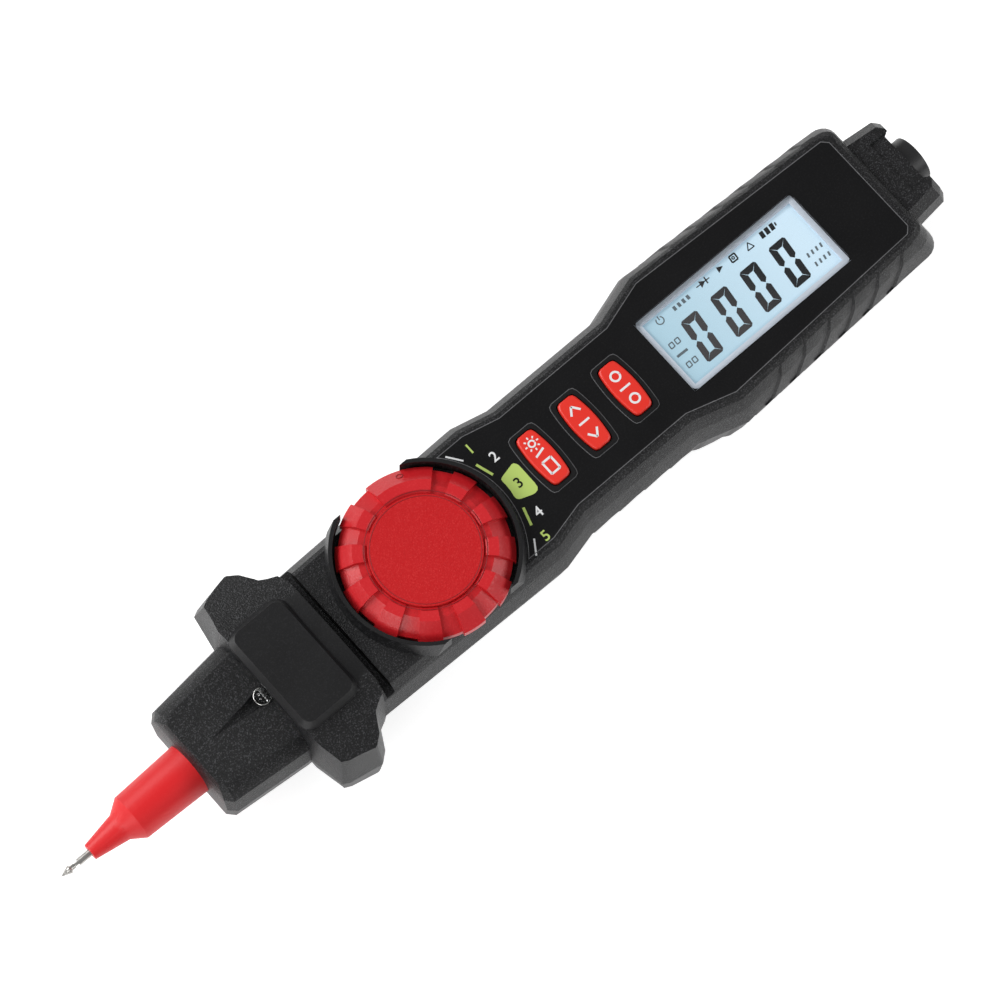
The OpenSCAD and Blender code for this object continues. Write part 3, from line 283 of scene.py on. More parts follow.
class Palette:
    """Builds node materials from finishes and shares the surface effects between them."""

    def __init__(self) -> None:
        """Starts with no materials; the shared effect is made on first use."""
        self._made: dict[str, bpy.types.Material] = {}
        self._surface: Tree | None = None

    def surface_group(self) -> Tree:
        """Moulded grain, bright specks and slow cloudiness in one shared group.

        Returns:
            The node group, with outputs Height, Specks and Clouds.
        """
        if self._surface is not None:
            return self._surface
        tree = bpy.data.node_groups.new("moulded_surface", "ShaderNodeTree")
        for side, sockets in (
            ("INPUT", ("Grain Size", "Cloud Size")), ("OUTPUT", ("Height", "Specks", "Clouds")),
        ):
            for socket in sockets:
                tree.interface.new_socket(socket, in_out=side, socket_type="NodeSocketFloat")
        nodes, links = tree.nodes, tree.links
        entry = nodes.new("NodeGroupInput")
        leave = nodes.new("NodeGroupOutput")
        place = nodes.new("ShaderNodeTexCoord")

        grain_scale, cloud_scale = (
            Wires.math(tree, "DIVIDE", 1.0, entry.outputs[socket]).outputs[0]
            for socket in ("Grain Size", "Cloud Size")
        )
        grain = nodes.new("ShaderNodeTexNoise")
        Wires.fill(grain, {"Detail": 3.0, "Roughness": 0.6})
        cells = nodes.new("ShaderNodeTexVoronoi")
        clouds = nodes.new("ShaderNodeTexNoise")
        Wires.fill(clouds, {"Detail": 2.0})
        for node, scale in ((grain, grain_scale), (cells, grain_scale), (clouds, cloud_scale)):
            links.new(place.outputs["Object"], node.inputs["Vector"])
            links.new(scale, node.inputs["Scale"])
        specks = nodes.new("ShaderNodeMapRange")
        Wires.fill(specks, {"From Min": 0.53, "From Max": 0.66})
        links.new(grain.outputs["Fac"], specks.inputs["Value"])
        mixed = Wires.math(
            tree, "MULTIPLY_ADD", cells.outputs["Distance"], 0.35, grain.outputs["Fac"]
        )
        links.new(mixed.outputs[0], leave.inputs["Height"])
        links.new(specks.outputs[0], leave.inputs["Specks"])
        links.new(clouds.outputs["Fac"], leave.inputs["Clouds"])
        self._surface = tree
        return tree

    def material(self, finish: Finish) -> bpy.types.Material:
        """Makes or finds the node material of a finish.

        Args:
            finish: The finish.

        Returns:
            The material.
        """
        if finish.name in self._made:
            return self._made[finish.name]
        material = bpy.data.materials.new(finish.name)
        material.use_nodes = True
        nodes, links = material.node_tree.nodes, material.node_tree.links
        shader = nodes["Principled BSDF"]
        surface = nodes.new("ShaderNodeGroup")
        surface.node_tree = self.surface_group()
        Wires.fill(surface, {"Grain Size": finish.grain * MM, "Cloud Size": finish.cloud * MM})

        second = finish.second or tuple(min(1.0, c * 1.35 + 0.01) for c in finish.color)
        blend = nodes.new("ShaderNodeMix")
        blend.data_type = "RGBA"
        Wires.fill(blend, {"A": (*finish.color, 1.0), "B": (*second, 1.0)})
        if finish.fade_from and finish.fade_to:
            weight = self._fade(material.node_tree, finish)
        else:
            share = Wires.math(
                material.node_tree, "MULTIPLY", surface.outputs["Clouds"], finish.cloud_share
            )
            mixed = Wires.math(
                material.node_tree, "MULTIPLY_ADD",
                surface.outputs["Specks"], finish.speckle, share.outputs[0],
            )
            mixed.use_clamp = True
            weight = mixed.outputs[0]
        links.new(weight, blend.inputs["Factor"])
        links.new(blend.outputs["Result"], shader.inputs["Base Color"])
        return self._finished(material, finish, surface)

    @staticmethod
    def _fade(tree: Tree, finish: Finish) -> Socket:
        """A share that runs from 0 to 1 between two places on the object.

        Args:
            tree: The material's node tree.
            finish: The finish with the two places.

        Returns:
            The share's socket.
        """
        start, end = Vector(finish.fade_from) * MM, Vector(finish.fade_to) * MM
        run = end - start
        place = tree.nodes.new("ShaderNodeTexCoord")
        along = tree.nodes.new("ShaderNodeVectorMath")
        along.operation = "DOT_PRODUCT"
        along.inputs[1].default_value = run / run.length_squared
        tree.links.new(place.outputs["Object"], along.inputs[0])
        share = tree.nodes.new("ShaderNodeMapRange")
        Wires.fill(share, {
            "From Min": start.dot(run) / run.length_squared,
            "From Max": end.dot(run) / run.length_squared,
        })
        tree.links.new(along.outputs["Value"], share.inputs["Value"])
        return share.outputs[0]

    def _finished(
        self, material: bpy.types.Material, finish: Finish, surface: bpy.types.Node
    ) -> bpy.types.Material:
        """Sets gloss, grain and the plain values of a material, and keeps it.

        Args:
            material: The material.
            finish: Its finish.
            surface: The material's grain group.

        Returns:
            The material.
        """
        nodes, links = material.node_tree.nodes, material.node_tree.links
        shader = nodes["Principled BSDF"]
        gloss = nodes.new("ShaderNodeMapRange")
        Wires.fill(gloss, {
            "To Min": finish.roughness - finish.roughness_swing,
            "To Max": finish.roughness + finish.roughness_swing,
        })
        links.new(surface.outputs["Clouds"], gloss.inputs["Value"])
        links.new(gloss.outputs[0], shader.inputs["Roughness"])
        if finish.grain_depth:
            bump = nodes.new("ShaderNodeBump")
            Wires.fill(bump, {
                "Strength": finish.grain_depth, "Distance": finish.grain_height * MM,
            })
            links.new(surface.outputs["Height"], bump.inputs["Height"])
            links.new(bump.outputs["Normal"], shader.inputs["Normal"])
        Wires.fill(shader, {
            "Metallic": finish.metallic, "Specular IOR Level": finish.specular,
            "Alpha": finish.alpha, "Transmission Weight": finish.transmission,
            "IOR": finish.ior,
        })
        if finish.glow:
            Wires.fill(shader, {
                "Emission Color": (*(finish.emission or finish.color), 1.0),
                "Emission Strength": finish.glow,
            })
        self._made[finish.name] = material
        return material


CASE_BLACK = Finish(
    "case_black", (0.004, 0.004, 0.0045), second=(0.066, 0.067, 0.071), roughness=0.4, grain=0.27,
    grain_depth=1.0, grain_height=0.12, speckle=0.85, cloud_share=0.04, specular=0.32,
)
REAR_BLACK = Finish(
    "rear_black", (0.007, 0.007, 0.008), second=(0.045, 0.046, 0.05), roughness=0.46, grain=0.25,
    grain_depth=0.9, grain_height=0.08, speckle=0.6, cloud_share=0.08, specular=0.36,
    slot="case_black",
)
PAD_BLACK = Finish(
    "pad_black", (0.006, 0.006, 0.0065), second=(0.022, 0.022, 0.024), roughness=0.42, grain=0.25,
    grain_depth=0.5, grain_height=0.06, speckle=0.5, cloud_share=0.1, specular=0.36,
    slot="case_black",
)
RIM_BLACK = Finish(
    "rim_black", (0.004, 0.004, 0.0045), second=(0.016, 0.016, 0.017), roughness=0.36, grain=0.25,
    grain_depth=0.3, speckle=0.4, specular=0.36, slot="case_black",
)
OVERLAY_BLACK = Finish(
    "overlay_black", (0.003, 0.003, 0.0035), second=(0.012, 0.012, 0.013), roughness=0.32,
    grain_depth=0.3, speckle=0.6, specular=0.3,
)
KNOB_RED = Finish(
    "knob_red", (0.58, 0.006, 0.012), second=(0.76, 0.05, 0.055), roughness=0.36, grain=0.4,
    grain_depth=0.35, speckle=0.25, slot="dial_red",
)
CAP_RED = Finish(
    "cap_red", (0.54, 0.003, 0.006), second=(0.68, 0.03, 0.03), roughness=0.55, grain=0.26,
    grain_depth=0.9, speckle=0.6, cloud_share=0.04, specular=0.3, slot="dial_red",
)
KEY_RED = Finish(
    "key_red", (0.80, 0.028, 0.016), second=(0.85, 0.06, 0.04), roughness=0.34, grain=0.4,
    grain_depth=0.12, speckle=0.1,
)
SLEEVE_RED = Finish(
    "sleeve_red", (0.72, 0.008, 0.012), second=(0.80, 0.03, 0.03), grain=0.5, grain_depth=0.2,
    speckle=0.15,
)
JACK_BLACK = Finish("jack_black", (0.014, 0.014, 0.015), roughness=0.35, grain_depth=0.15)
BEZEL_GREY = Finish(
    "bezel_grey", (0.60, 0.67, 0.76), second=(0.78, 0.83, 0.90), roughness=0.4, grain_depth=0.1,
)
# Pale blue glass, paler towards the tail end; its faint blue glow is painted light.
LCD_BLUE = Finish(
    "lcd_blue", (0.42, 0.63, 0.74), second=(0.66, 0.85, 0.98), roughness=0.3, grain=0.5,
    grain_depth=0.0, fade_from=(42.0, 0.0, 0.0), fade_to=(74.0, 2.0, 0.0), glow=0.04,
    emission=(0.55, 0.8, 1.0),
)
GREY_RUBBER = Finish("grey_rubber", (0.12, 0.12, 0.13), roughness=0.7, grain_depth=0.3)
BOARD_GREEN = Finish(
    "board_green", (0.02, 0.14, 0.06), second=(0.05, 0.26, 0.12), roughness=0.35, grain=0.8,
    grain_depth=0.2, speckle=0.3,
)
INNER_BLACK = Finish("inner_black", (0.018, 0.018, 0.02), roughness=0.5, grain=0.4, grain_depth=0.2)
INNER_WHITE = Finish("inner_white", (0.75, 0.75, 0.73), grain=0.5, grain_depth=0.15)
FILM_YELLOW = Finish("film_yellow", (0.78, 0.50, 0.05), roughness=0.4, grain=0.5, grain_depth=0.15)
PROBE_NICKEL = Finish(
    "probe_nickel", (0.42, 0.41, 0.39), roughness=0.33, metallic=0.8, grain=0.4, grain_depth=0.08,
)
CONTACT_BRASS = Finish(
    "contact_brass", (0.72, 0.52, 0.22), roughness=0.28, metallic=1.0, grain=0.4, grain_depth=0.08,
)
SCREW_STEEL = Finish(
    "screw_steel", (0.45, 0.45, 0.46), roughness=0.3, metallic=1.0, grain_depth=0.1,
)
LAMP_CLEAR = Finish(
    "lamp_clear", (0.95, 0.97, 1.0), second=(0.98, 0.99, 1.0), roughness=0.05,
    roughness_swing=0.02, grain=1.0, grain_depth=0.03, transmission=1.0,
)
WINDOW_CLEAR = Finish(
    "window_clear", (0.85, 0.93, 0.97), roughness=0.08, roughness_swing=0.02, grain=1.0,
    grain_depth=0.0, alpha=0.015,
)
CELL_GOLD = Finish(
    "cell_gold", (0.70, 0.48, 0.16), second=(0.05, 0.05, 0.05), roughness=0.3, metallic=0.7,
    grain=0.6, grain_depth=0.05,
)

PRINT_WHITE = Finish(
    "print_white", (0.82, 0.83, 0.84), second=(0.70, 0.71, 0.72), grain_depth=0.1,
    slot="inner_white",
)
PRINT_LIME = Finish(
    "print_lime", (0.50, 0.66, 0.16), second=(0.42, 0.58, 0.12), grain_depth=0.1,
    slot="film_yellow",
)
# Painted highlight: the light grey of the hairline that stands for light caught on the overlay's
# edges.
EDGE_HIGHLIGHT_GREY = Finish(
    "edge_highlight_grey", (0.11, 0.11, 0.115), second=(0.26, 0.26, 0.27), roughness=0.35, grain=0.6,
    grain_depth=0.2, speckle=0.4, slot="overlay_black",
)
# Dark LCD ink, painted grey towards the lower left and black towards the upper right: the grey is a
# painted reflection on the glass.
LCD_INK_AND_REFLECTION = Finish(
    "lcd_ink_and_reflection", (0.048, 0.043, 0.045), second=(0.002, 0.002, 0.003), roughness=0.5, specular=0.05,
    grain=0.5, grain_depth=0.0, fade_from=(56.0, -5.0, 0.0), fade_to=(65.0, 1.0, 0.0),
    slot="inner_black",
)
LCD_FAINT = Finish(
    "lcd_faint", (0.10, 0.13, 0.15), second=(0.06, 0.08, 0.10), roughness=0.5, grain=0.5,
    grain_depth=0.0, slot="inner_black",
)
BEZEL_LINE = Finish(
    "bezel_line", (0.24, 0.32, 0.40), second=(0.34, 0.42, 0.50), roughness=0.4, grain=0.5,
    grain_depth=0.05, slot="bezel_grey",
)
LAMP_SILVER = Finish(
    "lamp_silver", (0.72, 0.72, 0.70), roughness=0.2, metallic=1.0, grain_depth=0.05,
    slot="probe_nickel",
)
# Painted shade: dark red for thin rings that stand for the shade in fine grooves round the knob's
# cap and its pointer mark.
GROOVE_SHADE_RED = Finish(
    "groove_shade_red", (0.26, 0.004, 0.008), roughness=0.5, grain_depth=0.1, slot="dial_red",
)

FINISHED_NODES: tuple[tuple[Finish, tuple[str, ...]], ...] = (
    (CASE_BLACK, ("front_shell",)),
    (REAR_BLACK, ("rear_shell", "battery_cover")),
    (SCREW_STEEL, (
        "battery_cover_screw", "case_screws", "board_screws", "crystal", "rotor_screw",
        "detent_balls", "detent_springs", "switch_domes", "probe_spring", "cell_springs",
    )),
    (OVERLAY_BLACK, ("front_overlay",)),
    (WINDOW_CLEAR, ("display_window",)),
    (BEZEL_GREY, ("display_bezel",)),
    (LCD_BLUE, ("lcd_glass",)),
    (INNER_WHITE, (
        "backlight_panel", "dial_rotor", "hold_plunger", "range_plunger", "select_plunger",
    )),
    (GREY_RUBBER, ("zebra_strip",)),
    (BOARD_GREEN, ("main_board",)),
    (INNER_BLACK, ("main_chip", "divider_resistors", "buzzer", "switch_bodies")),
    (FILM_YELLOW, ("capacitors", "ptc_resistor")),
    (KNOB_RED, ("dial_knob",)),
    (CAP_RED, ("dial_cap",)),
    (CONTACT_BRASS, ("rotor_contacts", "probe_socket")),
    (KEY_RED, ("hold_button", "range_button", "select_button")),
    (SLEEVE_RED, ("probe_sleeve",)),
    (PROBE_NICKEL, ("probe_barrel", "probe_tip", "led_leads", "com_contact", "cell_plates")),
    (LAMP_CLEAR, ("torch_led",)),
    (JACK_BLACK, ("com_socket",)),
    (CELL_GOLD, ("left_cell", "right_cell")),
)
NODE_FINISHES: dict[str, Finish] = {
    node: finish for finish, nodes in FINISHED_NODES for node in nodes
}


class Workshop:
    """The loaded frame with its palette, and the steps that every sub-assembly shares."""

    flat: float = 0.4  # degrees between faces that count as one

    def __init__(self) -> None:
        """Loads the frame."""
        self.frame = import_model()
        self.palette = Palette()
        self.nodes: dict[str, Piece] = self.frame["nodes"]

    def paint(self, piece: Piece, finish: Finish) -> None:
        """Gives a piece one finish.

        Args:
            piece: The object.
            finish: Its finish.
        """
        material = self.palette.material(finish)
        if not piece.material_slots:
            piece.data.materials.append(material)
        for slot in piece.material_slots:
            slot.link = "OBJECT"
            slot.material = material

    def paint_nodes(self) -> None:
        """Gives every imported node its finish."""
        for name, node in self.nodes.items():
            self.paint(node, NODE_FINISHES[name])

    def refined(
        self, node: str, rounding: float, angle: float = 38.0, segments: int = 2,
        smooth: float = 50.0,
    ) -> Piece:
        """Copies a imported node, merges its faces, rounds its edges and lets the copy stand for it.

        Args:
            node: Name of the node.
            rounding: Width of the rounding in millimetres.
            angle: Edges sharper than this many degrees are rounded.
            segments: Faces across the rounding.
            smooth: Largest angle in degrees that is shaded smoothly.

        Returns:
            The new piece.
        """
        source, finish = self.nodes[node], NODE_FINISHES[node]
        piece = Bench.bare_copy(
            source, f"{node}_moulded",
            lambda: bpy.ops.mesh.dissolve_limited(angle_limit=math.radians(self.flat)),
        )
        Bench.modify(
            piece, "BEVEL", width=rounding * MM, segments=segments, limit_method="ANGLE",
            angle_limit=math.radians(angle), use_clamp_overlap=True, miter_outer="MITER_ARC",
        )
        Bench.soften(piece, smooth)
        self.paint(piece, finish)
        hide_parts(node)
        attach(piece, source["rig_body"])
        LOG.info("%s: %d faces", piece.name, len(piece.data.polygons))
        return piece

    def repaint(self, piece: Piece, finish: Finish, chosen: Callable[[Vector], bool]) -> None:
        """Gives some faces of a piece a finish of their own.

        Args:
            piece: The piece.
            finish: The finish.
            chosen: The test, given a face's middle in millimetres from the probe tip.
        """
        piece.data.materials.append(self.palette.material(finish))
        index = len(piece.data.materials) - 1
        offset = Vector((ORIGIN_X, 0.0, 0.0))
        for face in piece.data.polygons:
            if chosen(face.center / MM + offset):
                face.material_index = index

    def ring(
        self, name: str, middle: Point, radius: float, half: float, finish: Finish, body: Body,
        turn: Point = (0.0, 0.0, 0.0), steps: tuple[int, int] = (48, 10),
    ) -> Piece:
        """A smooth round ring.

        Args:
            name: Its name.
            middle: Its middle as [x from the probe tip, y, z].
            radius: Radius of its middle line.
            half: Half its thickness.
            finish: Its finish.
            body: The body that it rides on.
            turn: Its rotation in radians.
            steps: Faces round the ring and round its thickness.

        Returns:
            The ring.
        """
        Bench.clear_selection()
        bpy.ops.mesh.primitive_torus_add(
            major_radius=radius * MM, minor_radius=half * MM,
            major_segments=steps[0], minor_segments=steps[1],
            location=((middle[0] - ORIGIN_X) * MM, middle[1] * MM, middle[2] * MM),
            rotation=turn,
        )
        bpy.ops.object.shade_smooth()
        return self.finish_piece(bpy.context.active_object, name, finish, body)

    def finish_piece(self, piece: Piece, name: str, finish: Finish, body: Body) -> Piece:
        """Names, paints and mounts a new piece.

        Args:
            piece: The modelled mesh.
            name: Its name.
            finish: Its finish.
            body: The body that it rides on.

        Returns:
            The piece.
        """
        piece.name = name
        piece.data.name = name
        Bench.settle(piece)
        piece.data.materials.clear()
        self.paint(piece, finish)
        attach(piece, body.value)
        LOG.info("%s: %d faces", name, len(piece.data.polygons))
        return piece


class Printer:
    """Thin raised print: plates from outlines, rings, bars and numbers, in millimetres."""

    thickness: float = 0.03
    figure_share: float = 1.4
    figure_swell: float = 0.035
    arc_steps: int = 20

    @classmethod
    def plate(cls, outline: Sequence[Spot], z: float) -> Piece:
        """A thin plate with a given outline, lying on a height.

        Args:
            outline: Corners as [x from the probe tip, y].
            z: Height of its underside.

        Returns:
            The plate.
        """
        Bench.clear_selection()
        bpy.ops.mesh.primitive_circle_add(
            vertices=len(outline), radius=MM, fill_type="NGON", location=(0, 0, 0)
        )
        piece = bpy.context.active_object
        for vertex, (x, y) in zip(piece.data.vertices, outline):
            vertex.co = Vector((x - ORIGIN_X, y, z)) * MM
        Bench.in_edit(
            piece,
            Bench.select_all,
            lambda: bpy.ops.mesh.normals_make_consistent(inside=False),
        )
        if piece.data.polygons[0].normal.z < 0:
            Bench.in_edit(piece, Bench.select_all, bpy.ops.mesh.flip_normals)
        Bench.modify(piece, "SOLIDIFY", thickness=cls.thickness * MM, offset=1.0)
        return piece

    @classmethod
    def bar(cls, start: Spot, end: Spot, width: float, z: float) -> Piece:
        """A straight printed stroke.

        Args:
            start: One end of its middle line.
            end: The other end.
            width: Its width.
            z: Height of its underside.

        Returns:
            The stroke.
        """
        along = Vector((end[0] - start[0], end[1] - start[1])).normalized()
        side = Vector((-along.y, along.x)) * width / 2
        corners = [
            (start[0] + side.x, start[1] + side.y), (end[0] + side.x, end[1] + side.y),
            (end[0] - side.x, end[1] - side.y), (start[0] - side.x, start[1] - side.y),
        ]
        return cls.plate(corners, z)

    @classmethod
    def strokes(
        cls, points: Sequence[Spot], width: float, z: float, closed: bool = False
    ) -> list[Piece]:
        """A chain of strokes through points.

        Args:
            points: The corners.
            width: Width of each stroke.
            z: Height of the underside.
            closed: Whether the last point joins the first.

        Returns:
            The strokes.
        """
        ends = list(points) + ([points[0]] if closed else [])
        return [cls.bar(a, b, width, z) for a, b in zip(ends, ends[1:])]

    @classmethod
    def arc(
        cls, middle: Spot, radius: float, start: float, end: float,
        width: float, z: float,
    ) -> Piece:
        """A printed arc or ring.

        Args:
            middle: Its middle.
            radius: Radius of its middle line.
            start: First angle in degrees.
            end: Last angle in degrees.
            width: Its width.
            z: Height of its underside.

        Returns:
            The arc.
        """
        def spot(r: float, share: float) -> Spot:
            """A point of the arc."""
            angle = math.radians(start + (end - start) * share)
            return middle[0] + r * math.cos(angle), middle[1] + r * math.sin(angle)

        shares = [k / cls.arc_steps for k in range(cls.arc_steps + 1)]
        outer = [spot(radius + width / 2, share) for share in shares]
        inner = [spot(radius - width / 2, 1 - share) for share in shares]
        return cls.plate(outer + inner, z)

    @classmethod
    def number(cls, text: str, middle: Spot, height: float, z: float) -> Piece:
        """A plain number, made a mesh and laid on a height.

        Args:
            text: The number.
            middle: Its middle.
            height: Height of its figures.
            z: Height of its underside.

        Returns:
            The number.
        """
        Bench.clear_selection()
        bpy.ops.object.text_add(location=(0, 0, 0))
        piece = bpy.context.active_object
        piece.data.body = text
        piece.data.align_x, piece.data.align_y = "CENTER", "CENTER"
        piece.data.size = height * cls.figure_share * MM
        piece.data.offset = cls.figure_swell * MM
        piece.data.extrude = cls.thickness / 2 * MM
        bpy.ops.object.convert(target="MESH")
        piece = bpy.context.active_object
        piece.location = Vector((middle[0] - ORIGIN_X, middle[1], z + cls.thickness / 2)) * MM
        return piece


@dataclass
class Case:
    """The two shells, the cover and the glossy overlay with its print."""

    shop: Workshop
    shell_rounding: float = 0.3
    shell_crease: float = 24.0
    shell_smooth: float = 48.0
    cover_rounding: float = 0.25
    overlay_rounding: float = 0.06
    edge_rise: float = 0.04
    white_w: float = 0.34
    lime_w: float = 0.5
    face_z: float = 24.0
    edge_width: float = 0.15
    bars: tuple[tuple[Spot, Spot, bool], ...] = (
        ((101.70, 11.76), (103.68, 9.01), True),
        ((104.93, 6.96), (106.00, 3.53), False),
        ((106.05, -4.73), (104.96, -8.20), False),
        ((103.66, -10.40), (101.85, -13.07), True),
    )
    lozenge: tuple[Spot, ...] = (
        (106.56, 1.89), (106.95, 2.12), (109.85, 2.78), (110.25, 2.70), (110.55, 2.30),
        (110.72, 1.87), (110.75, 0.9), (110.72, -2.6), (110.59, -3.53), (110.2, -3.95),
        (109.6, -4.10), (109.0, -4.02), (106.9, -3.25), (106.50, -3.04), (106.22, -2.6),
        (106.18, -2.09), (106.42, -0.9), (106.50, 0.4), (106.45, 1.4),
    )
    number_height: float = 2.05
    pad_z: float = 26.2
    rim_from: float = 111.0
    rim_to: float = 139.2
    rim_half: float = 7.2
    rim_z: float = 23.2

    def build(self) -> None:
        """Makes every piece of the case."""
        shop = self.shop
        front = self._shell("front_shell")
        self._shell("rear_shell")
        shop.repaint(front, PAD_BLACK, lambda spot: spot.z > self.pad_z)
        shop.repaint(front, RIM_BLACK, self._is_rim)
        shop.refined("battery_cover", self.cover_rounding)
        shop.refined("front_overlay", self.overlay_rounding)
        # The overlay's edges get a grey hairline of painted highlight.
        self._overlay_edge_highlight()
        self._dial_print()

    def _shell(self, node: str) -> Piece:
        """Refines one of the two shells."""
        return self.shop.refined(
            node, self.shell_rounding, angle=self.shell_crease, smooth=self.shell_smooth
        )

    def _is_rim(self, spot: Vector) -> bool:
        """Whether a place of the shell, in millimetres, is on the rim round a key."""
        beside = abs(spot.y) < self.rim_half and spot.z > self.rim_z
        return beside and self.rim_from < spot.x < self.rim_to

    def _overlay_edge_highlight(self) -> None:
        """A painted highlight: a grey hairline along every edge of the overlay, standing just proud
        of it.
        """
        piece = Bench.bare_copy(self.shop.nodes["front_overlay"], "overlay_edge_highlight")
        low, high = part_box("display_window")
        margin = self.edge_width * MM
        Bench.select_faces(piece, lambda face: abs(face.normal.z) > 0.5 or (
            low[0] - margin < face.center.x < high[0] + margin
            and low[1] - margin < face.center.y < high[1] + margin
        ))
        Bench.in_edit(piece, lambda: bpy.ops.mesh.delete(type="FACE"))
        Bench.modify(
            piece, "SOLIDIFY", thickness=self.edge_width * MM, offset=-1.0, use_even_offset=True
        )
        piece.location.z += self.edge_rise * MM
        self.shop.finish_piece(piece, "overlay_edge_highlight", EDGE_HIGHLIGHT_GREY, Body.CASE)

    def _dial_print(self) -> None:
        """Marks and plain numbers round the dial."""
        z = self.face_z
        for index, (start, end, white) in enumerate(self.bars):
            self.shop.finish_piece(
                Printer.bar(start, end, self.white_w if white else self.lime_w, z),
                f"dial_mark_{index + 1}", PRINT_WHITE if white else PRINT_LIME, Body.CASE,
            )
        self.shop.finish_piece(
            Printer.plate(self.lozenge, z), "dial_mark_panel", PRINT_LIME, Body.CASE
        )
        numbers = (
            ("1", (106.0, 9.9), PRINT_LIME, z), ("2", (108.4, 5.9), PRINT_WHITE, z),
            ("3", (108.5, -0.7), OVERLAY_BLACK, z + Printer.thickness),
            ("4", (107.6, -7.2), PRINT_WHITE, z), ("5", (105.6, -11.4), PRINT_LIME, z),
        )
        for text, middle, finish, height in numbers:
            self.shop.finish_piece(
                Printer.number(text, middle, self.number_height, height),
                f"dial_number_{text}", finish, Body.CASE,
            )


@dataclass
class Dial:
    """The red knob with its cap and pointer mark."""

    shop: Workshop
    axis_x: float = 86.64
    pointer_angle: float = 67.3
    mark_r: float = 15.0
    mark_z: float = 26.9
    tilt: float = 42.0
    mark_ring_r: float = 0.62
    mark_ring_half: float = 0.1
    ring_half: float = 0.07
    knob_rounding: float = 0.22
    cap_rounding: float = 0.18
    crease: float = 24.0
    smooth: float = 22.0
    rings: tuple[Spot, ...] = ((10.12, 28.5), (11.15, 28.38))

    def build(self) -> None:
        """Makes every piece of the dial."""
        self.shop.refined("dial_knob", self.knob_rounding, angle=self.crease, smooth=self.smooth)
        self.shop.refined("dial_cap", self.cap_rounding)
        angle = math.radians(self.pointer_angle)
        x = self.axis_x + self.mark_r * math.cos(angle)
        # The pointer mark's ring is dark red painted shade.
        self.shop.ring(
            "pointer_ring", (x, self.mark_r * math.sin(angle), self.mark_z), self.mark_ring_r,
            self.mark_ring_half, GROOVE_SHADE_RED, Body.DIAL,
            turn=(0.0, math.radians(self.tilt), angle), steps=(32, 8),
        )
        # Dark rings of painted shade where grooves run round the cap.
        for index, (radius, height) in enumerate(self.rings):
            self.shop.ring(
                f"dial_ring_{index + 1}", (self.axis_x, 0.0, height), radius, self.ring_half,
                GROOVE_SHADE_RED, Body.DIAL, steps=(96, 8),
            )


@dataclass
class Keys:
    """The three red keys with plain marks."""

    shop: Workshop
    first_x: float = 115.0
    pitch: float = 10.0
    top_z: float = 24.9
    stroke: float = 0.42
    rounding: float = 0.4
    crease: float = 30.0
    sun_y: float = 3.1
    sun_r: float = 0.62
    sun_w: float = 0.34
    ray_from: float = 1.05
    ray_to: float = 1.5
    ray_w: float = 0.3
    rays: int = 8
    bar_half: float = 1.2
    ring_y: float = 2.7
    ring_r: float = 0.9
    arrow_foot: float = 2.2
    arrow_tip: float = 3.7
    arrow_half: float = 1.1

    def build(self) -> None:
        """Makes the keys and their marks."""
        for node in ("hold_button", "range_button", "select_button"):
            self.shop.refined(node, self.rounding, angle=self.crease, segments=3)
        self._put(self._sun(self.first_x), "hold_mark", Body.HOLD)
        self._put(self._arrows(self.first_x + self.pitch), "range_mark", Body.RANGE)
        self._put(self._rings(self.first_x + 2 * self.pitch), "select_mark", Body.SELECT)

    def _put(self, strokes: list[Piece], name: str, body: Body) -> None:
        """Joins a key's strokes and mounts them on it."""
        self.shop.finish_piece(Bench.join(strokes), name, PRINT_WHITE, body)

    def _sun(self, x: float) -> list[Piece]:
        """A bar beside a small sun."""
        z, y = self.top_z, self.sun_y
        made = [Printer.arc((x, y), self.sun_r, 0, 350, self.sun_w, z)]
        for k in range(self.rays):
            turn = math.radians(360 * k / self.rays)
            start, end = (
                (x + r * math.cos(turn), y + r * math.sin(turn))
                for r in (self.ray_from, self.ray_to)
            )
            made.append(Printer.bar(start, end, self.ray_w, z))
        made.append(Printer.bar((x - 1.1, 0.6), (x + 1.1, 1.2), self.stroke, z))
        made += Printer.strokes(
            [(x - 1.0, -0.9), (x + 1.0, -0.9), (x + 1.0, -3.6), (x - 1.0, -3.6)],
            self.stroke, z, closed=True,
        )
        return made

    def _bar(self, x: float) -> Piece:
        """The bar across the middle of a key."""
        half = self.bar_half
        return Printer.bar((x - half, 0.0), (x + half, 0.0), self.stroke, self.top_z)

    def _arrows(self, x: float) -> list[Piece]:
        """Two arrowheads apart, with a bar between them."""
        z, made = self.top_z, []
        for side in (1, -1):
            foot, tip = side * self.arrow_foot, side * self.arrow_tip
            corners = [(x - self.arrow_half, foot), (x, tip), (x + self.arrow_half, foot)]
            made += Printer.strokes(corners, self.stroke, z)
        return made + [self._bar(x)]

    def _rings(self, x: float) -> list[Piece]:
        """Two rings with a bar between them."""
        z = self.top_z
        rings = [
            Printer.arc((x, y), self.ring_r, 0, 355, self.stroke, z)
            for y in (self.ring_y, -self.ring_y)
        ]
        return rings + [self._bar(x)]


